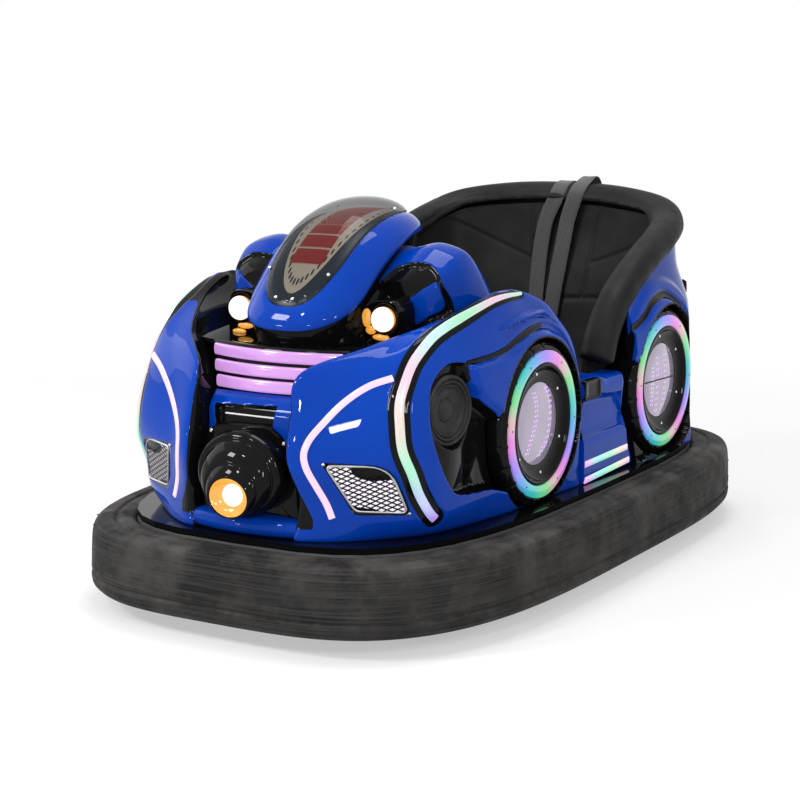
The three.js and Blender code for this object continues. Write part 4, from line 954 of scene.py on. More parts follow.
def grillePlane(corners):
    # middle, sideways, upward and outward directions of four corners
    corners = np.asarray(corners, float)
    middle = corners.mean(0)
    normal = unit(np.cross(corners[1] - corners[3], corners[2] - corners[0]))
    normal = -normal if normal[1] > 0 else normal
    side = unit(np.cross((0, 0, 1), normal))
    return middle, side, np.cross(normal, side), normal


def roundedOutline(corners, radii, count=7):
    # a polygon in a plane with its corners rounded
    corners = np.asarray(corners, float)
    out = []
    for i, (corner, radius) in enumerate(zip(corners, radii)):
        before, after = unit(corners[i - 1] - corner), unit(corners[(i + 1) % len(corners)] - corner)
        a, b = corner + before * radius, corner + after * radius
        t = np.linspace(0, 1, count)[:, None]
        out.append((1 - t) ** 2 * a + 2 * t * (1 - t) * corner + t ** 2 * b)
    return np.concatenate(out)


def pressedTo(x, inside, floor):
    # x brought down to a flat floor as far as inside says, never raised
    return np.where(inside > 0, np.minimum(x, x * (1 - inside) + floor * inside), x)


def makeFenders():
    # a closed spline skin; each relief is a distance in the side view, eased into a step
    net = np.array([[(x, y, z) for x, y in row] for z, row in fender["net"]])
    rows, cols = spread(fender["rowCounts"]), spread(fender["colCounts"], True)
    skin = smoothSheet(net, rows, cols, True)
    plain = Shape().grid(skin, wrapCols=True, caps=True)
    normal = normalsOf(skin, True)
    middle = skin.mean((0, 1))
    if (normal * (skin - middle)).sum() < 0:
        normal = -normal
    flat, out = skin.reshape(-1, 3).copy(), normal.reshape(-1, 3)
    side = (out[:, 0] > 0.1) & (flat[:, 0] > 300)
    plan = flat[:, 1:]

    strip, stripOut = castOn(plain, fender["heart"], evenly(smoothLine(fender["strip"], 200), 90))
    nose, noseOut = castOn(plain, fender["noseHeart"], evenly(smoothLine(fender["noseStrip"], 160), 70))
    corners, _ = castOn(plain, fender["noseHeart"], fender["grille"])
    place, across, up, facing = grillePlane(corners)
    flatCorners = np.stack([(corners - place) @ across, (corners - place) @ up], 1)
    outline = roundedOutline(flatCorners, (16, 46, 16, 14))
    border = roundedOutline(flatCorners * 1.10, (14, 48, 14, 12))

    away, along = toLine(flat, strip)
    band = away - np.interp(along, [0, 0.3], [0.5, 1]) * fender["bandHalf"]
    within = lambda name, count: toOutline(plan, smoothLine(fender[name], count, True))
    recess = np.where(side, within("recess", 160), farOff)
    pocket = np.where(side, np.hypot(*(plan - coverSpot["front"]).T) - coverSpot["pocket"], farOff)
    far, where = toLine(plan, smoothLine(fender["crease"], 60))
    widths = np.interp(where, [0, 0.25, 0.5, 0.75, 1], [5, 6, 8, 7, 3])
    crease = np.where(side, far - widths, farOff)
    arch = np.where(side, within("arch", 120), farOff)
    scoop = np.where(side, within("scoop", 60), farOff)
    inPlane = np.stack([(flat - place) @ across, (flat - place) @ up], 1)
    near = np.abs((flat - place) @ facing) < farOff
    grilleEdge = np.where(near, toOutline(inPlane, border), farOff)

    depth = 13 + 24 * ease(flat[:, 1], -640, -480)
    flat -= out * (2.5 * (1 - ease(band, -3, 2)))[:, None]
    flat[:, 0] += np.where(side, 11 * ease(-arch, 0, 14) * (1 - ease(-recess, -2, 6)), 0)
    flat[:, 0] -= 7 * (1 - ease(crease, -4, 4)) * side
    ridgeHeight = np.interp(plan[:, 0], [-413, -300, -200, -118], [648, 664, 668, 640])
    ridge = ease(plan[:, 1] - ridgeHeight, -10, 10)
    flat[:, 0] += 20 * ease(-scoop, 0, 9) * (ridge - 0.4) * side
    flat[:, 0] -= depth * ease(-recess, 0, 9) * side
    flat[:, 0] = pressedTo(flat[:, 0], ease(-pocket, 0, 6) * side, coverSpot["pocketFloor"])
    speakerFar = np.hypot(*(plan - speakerSpot["centre"][1:]).T)
    bed = ease(speakerSpot["bed"] - speakerFar, 0, 8) * side
    flat[:, 0] = pressedTo(flat[:, 0], bed, speakerSpot["bedFloor"])
    flat -= out * (4.5 * ease(-grilleEdge, 0, 4))[:, None]
    flat[:, 0] = np.minimum(flat[:, 0], fender["reach"])

    # black is the inner side, the recesses, the band under the strip and the front of the crease; the wheel
    # pocket and a 4 mm rim round it are black too, a painted shadow of the gap round the wheel cover
    inwards = np.where(out[:, 0] < 0.4, -out[:, 0] * farOff - 21, -farOff)
    corner = np.where(flat[:, 1] < -760, toOutline(flat[:, [0, 2]], fender["noseCorner"]), farOff)
    creaseFront = np.minimum(-crease, (0.62 - where) * 400)
    blackness = np.maximum.reduce([-band, -recess - 1, -pocket + 4, creaseFront, -grilleEdge,
                                   inwards, -corner])
    shape = Shape().grid(flat.reshape(skin.shape), wrapCols=True, caps=True)
    field = np.concatenate([blackness * mm, [noBlack, noBlack]])
    bothSides("front_fender", shape, ["body"], "car_body", "painted_blue", ["fender"], sharp=55,
              fields={"blackness": field})

    profile = np.array([(-10.5, -2), (-10.5, 2), (-9, 3.6), (-4, 4.6), (4, 4.6), (9, 3.6), (10.5, 2),
                        (10.5, -2)])
    widths = np.interp(np.linspace(0, 1, len(strip)), [0, 0.3], [0.35, 1])
    profile = profile[None] * np.stack([widths, np.ones(len(strip))], 1)[:, None]
    bar = Shape().ribbon(strip - stripOut * 2.5, profile, stripOut)
    bothSides("fender_strip", bar, ["strip"], "car_body", "light_strip", ["fender_light"], sharp=60)
    bar = Shape().ribbon(nose, [(-7.5, -2), (-7.5, 1), (-6, 2.8), (6, 2.8), (7.5, 1), (7.5, -2)], noseOut)
    bothSides("nose_strip", bar, ["pink"], "car_body", "pink_strip", ["nose_light"], sharp=60)
    makeGrille(place, across, up, facing, outline, flatCorners)


def clippedBar(outline, start, step):
    # the part of a line that lies inside a convex outline
    low, high = -1e3, 1e3
    inward = np.sign(np.cross(outline[1] - outline[0], outline[len(outline) // 2] - outline[0]))
    for a, b in zip(outline, np.roll(outline, -1, 0)):
        edge = b - a
        gap = inward * np.cross(edge, start - a)
        rate = inward * np.cross(edge, step)
        if abs(rate) < 1e-9:
            if gap < 0:
                return None
            continue
        t = -gap / rate
        if rate > 0:
            low = max(low, t)
        else:
            high = min(high, t)
    return (low, high) if high - low > 3 else None


grille = {"sunk": 4.0, "barWidth": 2.6, "barGap": 10.2, "slopes": (0.55, -0.42), "rim": 2.4}


def makeGrille(place, across, up, facing, outline, corners):
    # a plate behind two sets of crossing bars, in a raised rim; the plate glows pale lavender, painted light
    # standing in for the bright grey of the mesh
    lay = lambda flat, height: place + flat[:, :1] * across + flat[:, 1:] * up + facing * height
    shape = Shape()
    plate = np.array([lay(outline * s, h) for s, h in ((0.99, -6.0), (0.995, -3.4))])
    shape.grid(plate, wrapCols=True, caps=True, finish=0)
    shape.ribbon(lay(outline, -1.8), [(-grille["rim"], -2), (-grille["rim"], 1.0), (-1, 2.4), (1, 2.4),
                                      (grille["rim"], 1.0), (grille["rim"], -2)], facing, finish=1, closed=True)
    for slope in grille["slopes"]:
        step = unit(np.array([1.0, slope]))
        normal = np.array([-step[1], step[0]])
        for k in range(-22, 23):
            span = clippedBar(outline * 0.985, normal * k * grille["barGap"], step)
            if span:
                ends = np.array([normal * k * grille["barGap"] + step * t for t in span])
                w = grille["barWidth"] / 2
                height = 0.6 if slope > 0 else 0.0
                shape.ribbon(lay(ends, height - 2.6), [(-w, -1), (-w, 1), (w, 1), (w, -1)], facing, finish=2)
    for corner in corners:
        screw(shape, lay(corner[None] * 1.04, -3.5)[0], facing, 4.2, 3.0, finish=1)
    bothSides("corner_mesh", shape, ["backlight", "mesh", "gloss"], "car_body", "grille_metal",
              ["corner_grille"])


makeFenders()
print("fenders made")


# the four moulded wheel covers

coverShape = {
    "wall": [  # radius, height from the back
        (120, 0), (186, 0.5), (193, 4), (196, 12), (197, 24), (196, 36), (192, 44), (188, 47), (184, 50.5),
        (181, 52), (177.5, 52.3), (176.5, 50)],
    "bowl": [(174.5, 49), (147, 49), (145.5, 53), (142.5, 55.6), (139, 55.8), (136, 54), (133, 50), (126, 44),
             (114, 40), (104, 38.6), (100, 38.5), (98.5, 37)],
    "depth": 56.0, "notches": 22, "disc": 98.0,
    "ring": [(146.6, 49.5), (146.6, 55.4), (148.6, 56.6), (160.6, 57.4), (172.6, 56.6), (174.6, 55.4),
             (174.6, 49.5)],
    "screws": {"number": 6, "radius": 120.0, "height": 41.5},
    "ringScrews": {"number": 6, "radius": 161.0, "height": 57.0},
}


def screwsRound(shape, centre, place, start, **size):
    # screws at equal angles on a circle that faces sideways
    for k in range(place["number"]):
        turn = (k + start) / place["number"] * 2 * np.pi
        around = np.array([place["height"], -math.sin(turn) * place["radius"], math.cos(turn) * place["radius"]])
        screw(shape, centre + around, (1, 0, 0), finish=1, **size)


def makeCovers():
    # a notched shoulder and a dished face, both turned round the cover's axis
    back = coverSpot["face"] - coverShape["depth"] + 0.3
    for name in ("front", "rear"):
        y, z = coverSpot[name]
        centre = np.array([back, y, z])
        shape = Shape()
        count = coverShape["notches"] * 16
        wall = turned(smoothLine(coverShape["wall"], 44), centre, (1, 0, 0), count)
        angle = np.arange(count) / count * 2 * np.pi
        # thin slots cut the shoulder into blocks
        slot = ease(np.abs((angle / (2 * np.pi) * coverShape["notches"]) % 1 - 0.5), 0.40, 0.47)
        height = wall[..., 0] - back
        pull = slot[None] * ease(height, 34, 42) * 4.0
        wall = wall - unit((wall - centre) * (0, 1, 1)) * pull[..., None]
        bowl = turned(smoothLine(coverShape["bowl"], 60), centre, (1, 0, 0), count)
        shape.grid(np.concatenate([wall, bowl]), wrapCols=True, caps=True)
        screwsRound(shape, centre, coverShape["screws"], 0.1, radius=4.2, height=2.6)
        bothSides(f"wheel_cover_shell_{name}", shape, ["gloss", "chrome"], "car_body", "gloss_black",
                  [f"wheel_cover_{name}"], sharp=40)

        light = Shape().turn(coverShape["ring"], centre, (1, 0, 0), 180, closed=True)
        screwsRound(light, centre, coverShape["ringScrews"], 0.45, radius=2.6, height=1.2)
        bothSides(f"ring_{name}", light, ["ring", "satin"], "car_body", "light_strip",
                  [f"ring_light_{name}"])
        makeMirror(name, centre)


mirrorDots = {
    "front": {
        "lines": [[(41, 80), (59, 60), (66, 27), (66, 10), (63, -10), (51, -40), (38, -57), (22, -68),
                   (8, -78)],
                  [(-20, 75), (-6, 46), (-6, 31), (-8, 13), (-13, -5), (-22, -20), (-32, -36), (-41, -50),
                   (-53, -64)]],
        "pairs": 14,
    },
    "rear": {
        "lines": [[(-46, 38), (-44, 10), (-46, -20), (-50, -60)],
                  [(-20, 62), (-14, 20), (-14, -20), (-22, -80)],
                  [(30, 64), (38, 20), (36, -20), (22, -70)]],
        "pairs": 10,
    },
    "size": 3.1, "between": 11.0,
}


def makeMirror(name, centre):
    # a flat disc with pairs of lit dots along drawn lines; in each pair one dot is an LED and the other its
    # reflection in the half mirror, a painted reflection
    shape = Shape()
    r = coverShape["disc"]
    shape.turn([(r, 34), (r, 38.2), (r - 1, 38.8), (r * 0.6, 38.8), (r * 0.2, 38.8)], centre, (1, 0, 0), 96)
    dots = mirrorDots[name]
    for line in dots["lines"]:
        for u, v in evenly(smoothLine(line, 80), dots["pairs"]):
            # the two dots of a pair: an LED and its painted reflection
            for half in (-0.5, 0.5):
                spot = centre + np.array([38.6, u + half * mirrorDots["between"], v])
                shape.turn([(mirrorDots["size"], -0.5), (mirrorDots["size"] * 0.9, 0.7), (1.2, 1.1)], spot,
                           (1, 0, 0), 10, finish=1)
    if name == "rear":
        bar = np.array([[39.2, -96, 4], [39.2, 96, -2]]) + centre
        shape.ribbon(bar, [(-2, -0.6), (-2, 0.5), (2, 0.5), (2, -0.6)], (1, 0, 0), finish=2)
    bothSides(f"mirror_{name}", shape, ["mirror", "dots", "gloss"], "car_body", "gloss_black")


makeCovers()
print("wheel covers made")


# middle of the nose: lip, panel, lamp housing and the three bowed bars

noseParts = {
    "lip": [(-768, 224), (-846, 223), (-858, 227), (-864, 238), (-863, 250), (-855, 260), (-840, 264),
            (-806, 266), (-768, 266)],
    "wide": 1.12, "tall": 0.96, "shift": 7.0,
    "panelHalf": 126.0, "panelLow": 258.0, "panelHigh": 524.0, "panelFace": -803.0,
    "inset": [(-106, 499), (62, 506), (50, 430), (-98, 430)],
    "plate": [(-128, 262), (-126, 360), (-124, 420), (-112, 444), (-76, 460), (48, 464), (86, 438), (100, 402),
              (124, 350), (130, 262)],
    "rings": [  # y, radius, centre height
        (-806, 98, 364), (-844, 100, 364), (-856, 99, 363.5), (-864, 95, 362), (-868, 89, 360), (-868, 85, 358),
        (-873, 83, 355), (-880, 80, 351), (-888, 75, 346), (-895, 68, 340), (-898, 63, 336), (-897, 60, 334),
        (-901, 58, 331), (-907, 54, 326), (-911, 50, 322), (-912, 47.5, 321), (-911, 45.5, 320),
        (-905, 44.8, 320), (-894, 44.6, 320), (-884, 42, 320), (-880, 12, 320)],
    "bowl": [(43, -14), (44.5, -6), (45, 0), (44.6, 3), (43.4, 3.4), (41, 0), (34, -7), (24, -12), (10, -14)],
    "bulb": [(8, -2), (22, 0), (25, 5), (24, 11), (19, 17), (11, 21), (4, 22.4)],
    "bars": [(-737, 604, 172), (-755, 572, 152), (-771, 541, 132)],
    "barSection": [(-12, 10), (-13.4, 4), (-13.2, -1), (-10, -3.5), (-3, -4.6), (4, -4.4), (10, -3.2),
                   (13.2, 0), (13.4, 5), (12, 10)],
    "barBack": [(-700, 622), (-722, 622), (-730, 600), (-752, 548), (-760, 526), (-740, 520), (-716, 560)],
    "bow": 45.0, "bowSpan": 195.0,
}


def plainField(grid):
    # a grid and its two cap points, none of it black
    return {"blackness": np.full(grid.shape[0] * grid.shape[1] + 2, noBlack)}


def makeLip():
    # a section bowed back towards both ends
    x = np.linspace(-150, 150, 61)
    lip = smoothLine(noseParts["lip"], 40)
    grid = np.array([[(px, y + 26 * (px / 150) ** 2 * (y < -800), z) for y, z in lip] for px in x])
    setPiece("nose_lip_band", Shape().grid(grid, wrapCols=True, caps=True), ["body"], "car_body",
             "painted_blue", ["nose_lip"], sharp=50, fields=plainField(grid))


def makePanel():
    # a flat face with rounded rims, leaning back at the top, and a black inset pressed into it
    half, low, high = noseParts["panelHalf"], noseParts["panelLow"], noseParts["panelHigh"]
    x, z = np.meshgrid(np.linspace(-half, half, 120), np.linspace(low, high, 120), indexing="ij")
    edge = toOutline(np.stack([x.ravel(), z.ravel()], 1), noseParts["inset"]).reshape(x.shape)
    rim = np.minimum(half - np.abs(x), high - z)
    y = noseParts["panelFace"] + 14 * (1 - ease(rim, 0, 9)) + 26 * ease(z, 470, 530) ** 2
    y = y + (10 + 0.14 * (z - 430)) * ease(-edge, 0, 7)
    front = np.stack([x, y, z], -1)
    shape = Shape().grid(front, look=(0, -1, 0))
    rear = front[::-1].copy()
    rear[..., 1] = -760
    shape.grid(rear[::119, ::119], look=(0, 1, 0))
    dark = np.concatenate([(-edge.ravel() - 1) * mm, np.full(4, noBlack)])
    setPiece("nose_panel_face", shape, ["body"], "car_body", "painted_blue", ["nose_panel"], sharp=50,
             fields={"blackness": dark})


def makeNoseLamp():
    # a plate, then rings that shrink and shift towards the mouth, with a bowl in it that glows amber as a painted
    # reflection of the bulb
    shape = Shape()
    outline = roundedOutline(noseParts["plate"], [8, 10, 14, 16, 16, 16, 16, 14, 10, 8], 5)
    lay = lambda s, y: np.stack([outline[:, 0] * s, np.full(len(outline), y),
                                 262 + (outline[:, 1] - 262) * s], 1)
    plate = [lay(1, -794), lay(1, -812), lay(0.985, -816), lay(0.9, -817)]
    shape.grid(np.array(plate), wrapCols=True, caps=True)
    rings = smoothLine([(r, y, z) for y, r, z in noseParts["rings"]], 130)
    angle = np.arange(96) / 96 * 2 * np.pi
    wide, tall, shift = noseParts["wide"], noseParts["tall"], noseParts["shift"]
    lean = shift * ease(-rings[:, 1], 866, 912)
    r, y, z = (rings[:, k, None] for k in range(3))
    loops = np.stack([r * wide * np.cos(angle) + lean[:, None], y + 0 * angle,
                      z - 4 + r * np.sin(angle) * tall], -1)
    shape.grid(loops, wrapCols=True, caps=True)
    # the bowl round the bulb glows amber: painted reflection of the bulb, not a lamp
    dish = turned(smoothLine(noseParts["bowl"], 40), (0, 0, 0), (0, -1, 0), 64) * (wide, 1, tall)
    shape.grid(dish + (shift, -906, 316), wrapCols=True, caps=True, finish=1)
    for px, pz in ((-104, 440), (92, 428)):
        screw(shape, (px, -815, pz), (0, -1, 0), 5.5, 4, finish=2)
    setPiece("lamp_housing_rings", shape, ["gloss", "amberGlow", "chrome"], "car_body", "gloss_black",
             ["nose_lamp_housing"], sharp=34)
    bulb = Shape().turn(smoothLine(noseParts["bulb"], 30), (18, -900, 323), (0, -1, 0), 48)
    setPiece("nose_bulb", bulb, ["white"], "car_body", "lamp_glass", ["nose_lamp"])


def makeBars():
    # one section carried along three arcs, in front of a black back
    shape = Shape()
    profile = smoothLine(noseParts["barSection"], 30, True)
    for y, z, half in noseParts["bars"]:
        x = np.linspace(-half, half, 60)
        face = y + noseParts["bow"] * (x / noseParts["bowSpan"]) ** 2 + 3
        path = np.stack([x, face, np.full(60, float(z))], 1)
        shape.ribbon(path, profile * (1, -1), (0, -1, 0), finish=0)
    x = np.linspace(-182, 182, 40)
    back = smoothLine(noseParts["barBack"], 20)
    grid = np.array([[(px * (1 - 0.0022 * (620 - z)), y + 38 * (px / 195) ** 2, z) for y, z in back]
                     for px in x])
    shape.grid(grid, wrapCols=True, caps=True, finish=1)
    setPiece("bowed_bars", shape, ["violet", "gloss"], "car_body", "pink_strip", ["grille_light"], sharp=50)


makeLip()
makePanel()
makeNoseLamp()
makeBars()
print("nose made")


# cowl and its two pods

cowl = {
    "throat": [
        (-664, [(30, 623), (32, 634), (22, 642), (8, 645)]),
        (-652, [(64, 623), (66, 648), (48, 664), (18, 670)]),
        (-600, [(122, 623), (122, 664), (88, 692), (40, 700)]),
        (-520, [(146, 623), (146, 712), (112, 742), (50, 756)]),
        (-440, [(150, 623), (150, 742), (116, 772), (50, 786)]),
    ],
    "pods": [
        (-488, [(262, 623), (266, 684), (256, 744), (206, 766), (150, 758), (40, 770)]),
        (-470, [(276, 623), (284, 690), (276, 764), (214, 786), (150, 770), (40, 784)]),
        (-420, [(292, 623), (316, 698), (294, 798), (222, 822), (150, 802), (46, 812)]),
        (-395, [(298, 623), (326, 700), (298, 808), (224, 834), (150, 815), (50, 822)]),
        (-345, [(306, 623), (334, 696), (296, 814), (224, 838), (150, 822), (50, 834)]),
        (-300, [(312, 623), (336, 682), (302, 770), (224, 812), (150, 812), (50, 832)]),
        (-262, [(318, 623), (332, 664), (306, 716), (226, 772), (150, 796), (50, 824)]),
        (-176, [(322, 623), (316, 636), (296, 652), (220, 700), (150, 742), (50, 786)]),
    ],
    "blackWithin": ([-488, -371, -296, -200], [134, 130, 72, 40]),
    "recess": [(108, 640), (119, 722), (140, 750), (157, 782), (182, 795), (216, 801), (247, 797), (274, 779),
               (291, 745), (302, 714), (304, 688), (280, 672), (240, 652), (200, 636)],
    "insert": [(208, 708), (238, 736), (262, 753), (278, 760), (288, 737), (293, 698), (268, 681), (226, 662),
               (212, 680)],
}


def crossNet(sections):
    # whole sections from their halves
    net = []
    for y, half in sections:
        right = [(-x, y, z) for x, z in half]
        net.append(right + [(x, y, z) for x, z in reversed(half)])
    return np.array(net, float)


def tightened(row, share):
    # two points by each corner, so that a smooth line keeps close to its polygon
    kept = [row[0]]
    for before, corner, after in zip(row[:-2], row[1:-1], row[2:]):
        kept += [corner + (before - corner) * share, corner + (after - corner) * share]
    return np.array(kept + [row[-1]])


def crossSheet(sections, rows, perSpan, tight=0.0):
    # smooth from foot to foot, straight across below
    net = crossNet(sections)
    if tight:
        net = np.array([tightened(row, tight) for row in net])
    lines = np.array([smoothLine(row, (net.shape[1] - 1) * perSpan + 1) for row in net])
    return smoothLine(lines.reshape(len(net), -1), rows).reshape(rows, lines.shape[1], 3)


def makeCowl():
    throat = crossSheet(cowl["throat"], 60, 10)
    setPiece("cowl_throat", Shape().grid(throat, wrapCols=True, caps=True), ["gloss"], "car_body",
             "gloss_black", sharp=50)
    pods = crossSheet(cowl["pods"], 150, 12, 0.16)
    out = normalsOf(pods)
    if (out[..., 2] * ease(pods[..., 2], 700, 800)).sum() < 0:
        out = -out
    # the front is closed by rings that shrink to each pod's middle
    ring = pods[0]
    middle = np.stack([np.sign(ring[:, 0]) * np.clip(np.abs(ring[:, 0]), 0, 170), ring[:, 1],
                       np.clip(ring[:, 2], 0, 690)], 1)
    shares = np.linspace(0, 1, 46)[:-1, None, None]
    face = middle + (ring - middle) * shares + (0, -3, 0) * (1 - shares ** 2)
    pods = np.concatenate([face, pods])
    out = np.concatenate([np.broadcast_to((0, -1.0, 0), face.shape), out]).reshape(-1, 3)
    flat = pods.reshape(-1, 3)
    front = flat[:, 1] < -425
    plan = np.stack([np.abs(flat[:, 0]), flat[:, 2]], 1)
    recess = np.where(front, toOutline(plan, smoothLine(cowl["recess"], 90, True)), farOff)
    insert = np.where(front, toOutline(plan, smoothLine(cowl["insert"], 60, True)), farOff)
    push = 9 * ease(-recess, 0, 6) - 7 * ease(-insert, -2, 4)
    pods = (flat - out * push[:, None]).reshape(pods.shape)
    within = np.interp(flat[:, 1], *cowl["blackWithin"])
    dark = np.maximum(within - plan[:, 0], np.minimum(-recess, insert))
    dark = np.concatenate([dark * mm, [noBlack, noBlack]])
    setPiece("cowl_pods", Shape().grid(pods, wrapCols=True, caps=True), ["body"], "car_body", "painted_blue",
             ["cowl_shell"], sharp=50, fields={"blackness": dark})


makeCowl()
print("cowl made")


# dome: collar, smoked cover, display panel and its screws

dome = {
    "middle": -426.0, "half": 246.0, "width": 96.0, "rise": 42.0, "taper": 0.16, "blunt": (0.74, 0.86),
    "collarHalf": 268.0, "collarWidth": 148.0,
    "edgeHeight": [(-690, 690), (-665, 716), (-600, 778), (-500, 850), (-400, 886), (-300, 896), (-200, 886),
                   (-120, 862)],
    "collarHeight": [(-720, 664), (-685, 676), (-600, 718), (-500, 796), (-400, 846), (-300, 866), (-200, 862),
                     (-90, 838)],
    "bandSteps": [  # share of the way out, height
        (0.0, -14), (0.0, -2), (0.02, 0.6), (0.06, 1.4), (0.25, 4.5), (0.5, 6), (0.75, 4.5), (0.92, 1.5),
        (1.0, -3), (1.02, -8), (1.0, -14), (0.94, -18), (0.7, -20), (0.3, -22)],
    "screws": (0.02, 0.13, 0.31, 0.48, 0.52, 0.69, 0.87, 0.98),
}


def heightLine(name):
    # height as a function of place along the car
    line = smoothLine(dome[name], 200)
    return lambda y: np.interp(y, line[:, 0], line[:, 1])


edgeHeight, collarHeight = heightLine("edgeHeight"), heightLine("collarHeight")


def eggLoop(halfWide, halfLong, height, dz=0.0, count=128):
    # an oval that is blunt at the nose: cosine and sine raised to powers below one
    angle = np.arange(count) / count * 2 * np.pi - np.pi / 2
    wide, long = np.cos(angle), np.sin(angle)
    taper = 1 - dome["taper"] * long
    power = np.where(long < 0, dome["blunt"][0], dome["blunt"][1])
    x = halfWide * taper * np.sign(wide) * np.abs(wide) ** power
    y = dome["middle"] + halfLong * np.sign(long) * np.abs(long) ** power
    return np.stack([x, y, height(y) + dz], 1)


def makeDome():
    # loops between the cover's edge and the collar's, then caps that rise as a circle does
    w, h, cw, ch = dome["width"], dome["half"], dome["collarWidth"], dome["collarHalf"]
    edge, foot = eggLoop(w, h, edgeHeight), eggLoop(cw, ch, collarHeight)
    net = np.array([edge * (1 - t) + foot * t + (0, 0, dz) for t, dz in dome["bandSteps"]])
    loops = smoothLine(net.reshape(len(net), -1), 90, True).reshape(90, -1, 3)
    shape = Shape().grid(loops, wrapRows=True, wrapCols=True)
    neck = np.array([eggLoop(cw * s, ch * s, collarHeight, dz) for s, dz in
                     ((0.90, -74), (0.93, -50), (0.955, -22), (0.94, -10))])
    shape.grid(neck, wrapCols=True, caps=True, finish=1)
    total = sum(len(p[0]) for p in shape.parts)
    setPiece("dome_band", shape, ["body", "gloss"], "car_body", "painted_blue", ["dome_collar"], sharp=50,
             fields={"blackness": np.full(total, noBlack)})

    share = np.cos(np.linspace(0, 0.97, 26) * np.pi / 2)
    outer = [eggLoop(w * s, h * s, edgeHeight, dome["rise"] * math.sqrt(max(1 - s * s, 0)) + 1)
             for s in share]
    rim = [eggLoop(w, h, edgeHeight, -3)]
    shape = Shape().grid(np.array(rim + outer), wrapCols=True, caps=True)
    setPiece("dome_smoke", shape, ["smoke"], "car_body", "smoked_cover", ["dome_cover"])

    share = np.linspace(1, 0.04, 24)
    loops = [eggLoop(w * s * 0.985, h * s * 0.985, edgeHeight, -4 + 16 * math.sqrt(max(1 - s * s, 0)))
             for s in share]
    run = np.array([(loop[:, :2] - (0, dome["middle"])) / (w, h) for loop in loops])
    cap = np.array([eggLoop(w * 0.985, h * 0.985, edgeHeight, -9)] + loops)
    run = np.concatenate([run[:1], run])
    setPiece("dome_panel", Shape().grid(cap, wrapCols=True, caps=True, run=run), ["display"], "car_body",
             "display", ["display_panel"])

    shape = Shape()
    rim = eggLoop(w * 0.965, h * 0.985, edgeHeight, 13)
    for share in dome["screws"]:
        k = int(share * len(rim)) % len(rim)
        place = rim[k]
        out = unit(np.array([place[0] / w ** 2, (place[1] - dome["middle"]) / h ** 2, 0.004]))
        screw(shape, place + out * 1.5, out + (0, 0, 0.6), 4.2, 3.0)
    setPiece("dome_screws", shape, ["chrome"], "car_body", "grille_metal")


makeDome()
print("dome made")


# headlamps

headlamp = {"x": 196.0, "y": -560.0, "z": 681.0, "halfWide": 38.0, "low": -68.0, "high": 42.0, "back": 82.0,
            "cup": [(6, -12), (20, -10), (27, -2), (28.5, 8)],
            "glass": [(28.4, 8), (27.6, 14), (24, 20.5), (17, 25), (9, 27.4), (3, 28)],
            "amberReflectionSpots": [(-47, 0, 12, 21), (-36, -27, 13, 10), (-10, -42, 21, 7), (8, -56, 18, 6)]}


def makeHeadlamps():
    # a squared case that closes in towards a bowl, a round bulb and four flat side lenses; the bulb's cup and the
    # four side lenses glow amber as painted reflections of the bulb
    shape = Shape()
    place = np.array([headlamp["x"], headlamp["y"], headlamp["z"]])
    w, low, high = headlamp["halfWide"], headlamp["low"], headlamp["high"]
    outline = roundedOutline([(-w - 24, low), (w, low), (w, high * 0.6), (w * 0.6, high), (-w * 0.6, high),
                              (-w - 22, high * 0.5)], [6, 12, 20, 16, 16, 22], 6)
    lay = lambda s, y: place + np.stack([outline[:, 0] * s, np.full(len(outline), y), outline[:, 1] * s], 1)
    shape.grid(np.array([lay(0.9, headlamp["back"]), lay(1, 60), lay(1, 4), lay(0.97, -1), lay(0.93, -2),
                         lay(0.9, 1), lay(0.88, 10), lay(0.7, 22), lay(0.3, 26)]), wrapCols=True, caps=True)
    bowl = [(36, -14), (37, 2), (36, 4), (34.5, 2), (31, -8), (20, -14), (9, -16)]
    shape.turn(smoothLine(bowl, 36), place, (0, -1, 0), 64)
    # the cup round the bulb glows amber, a painted reflection of the bulb in its reflector
    lamp = Shape().turn(smoothLine(headlamp["cup"], 20), place, (0, -1, 0), 56, finish=1)
    lamp.turn(smoothLine(headlamp["glass"], 24), place, (0, -1, 0), 56)
    # four flat amber spots beside and under the bulb, painted reflections of it in the gloss moulding
    for x, z, wide, tall in headlamp["amberReflectionSpots"]:
        spot = place + (x, -2, z)
        lens = turned([(1, -3), (1, 0.5), (0.86, 2.4), (0.5, 3.8), (0.15, 4.2)], (0, 0, 0), (0, -1, 0), 32)
        lens = lens * (wide, 1, tall) + spot
        lamp.grid(lens, wrapCols=True, caps=True, finish=1)
    bothSides("headlamp_case", shape, ["gloss"], "car_body", "gloss_black", ["headlamp"], sharp=36)
    bothSides("headlamp_bulb", lamp, ["white", "amberGlow"], "car_body", "lamp_glass")


makeHeadlamps()
print("headlamps made")


# speakers, turned a little towards the nose

def makeSpeakers():
    # rim, surround, cone and cap as one turned profile
    profile = [(60, -9), (84, -8), (86, 0), (85, 5), (82, 8), (79, 8.4), (76, 6), (74.5, 3), (73, 5), (71, 7),
               (68, 7), (66, 4), (64, 1), (62, 3), (59, 4), (56, 1), (50, -3), (38, -6), (30, -7), (27, -4),
               (20, -1), (10, 0.5), (3, 0.8)]
    profile = smoothLine(profile, 110) * (speakerSpot["share"], 1)
    shape = Shape().turn(profile, speakerSpot["centre"], speakerSpot["axis"], 96)
    centre, axis = np.array(speakerSpot["centre"]), unit(np.array(speakerSpot["axis"]))
    side = np.cross((0, 0, 1), axis)
    for k in range(8):
        turn = (k + 0.5) / 8 * 2 * np.pi
        spot = centre + (side * math.cos(turn) + np.array([0, 0, 1]) * math.sin(turn)) * 75 + axis * 7.5
        screw(shape, spot, axis, 2.4, 1.6)
    bothSides("speaker_cone", shape, ["satin"], "car_body", "satin_black", ["speaker"], sharp=50)


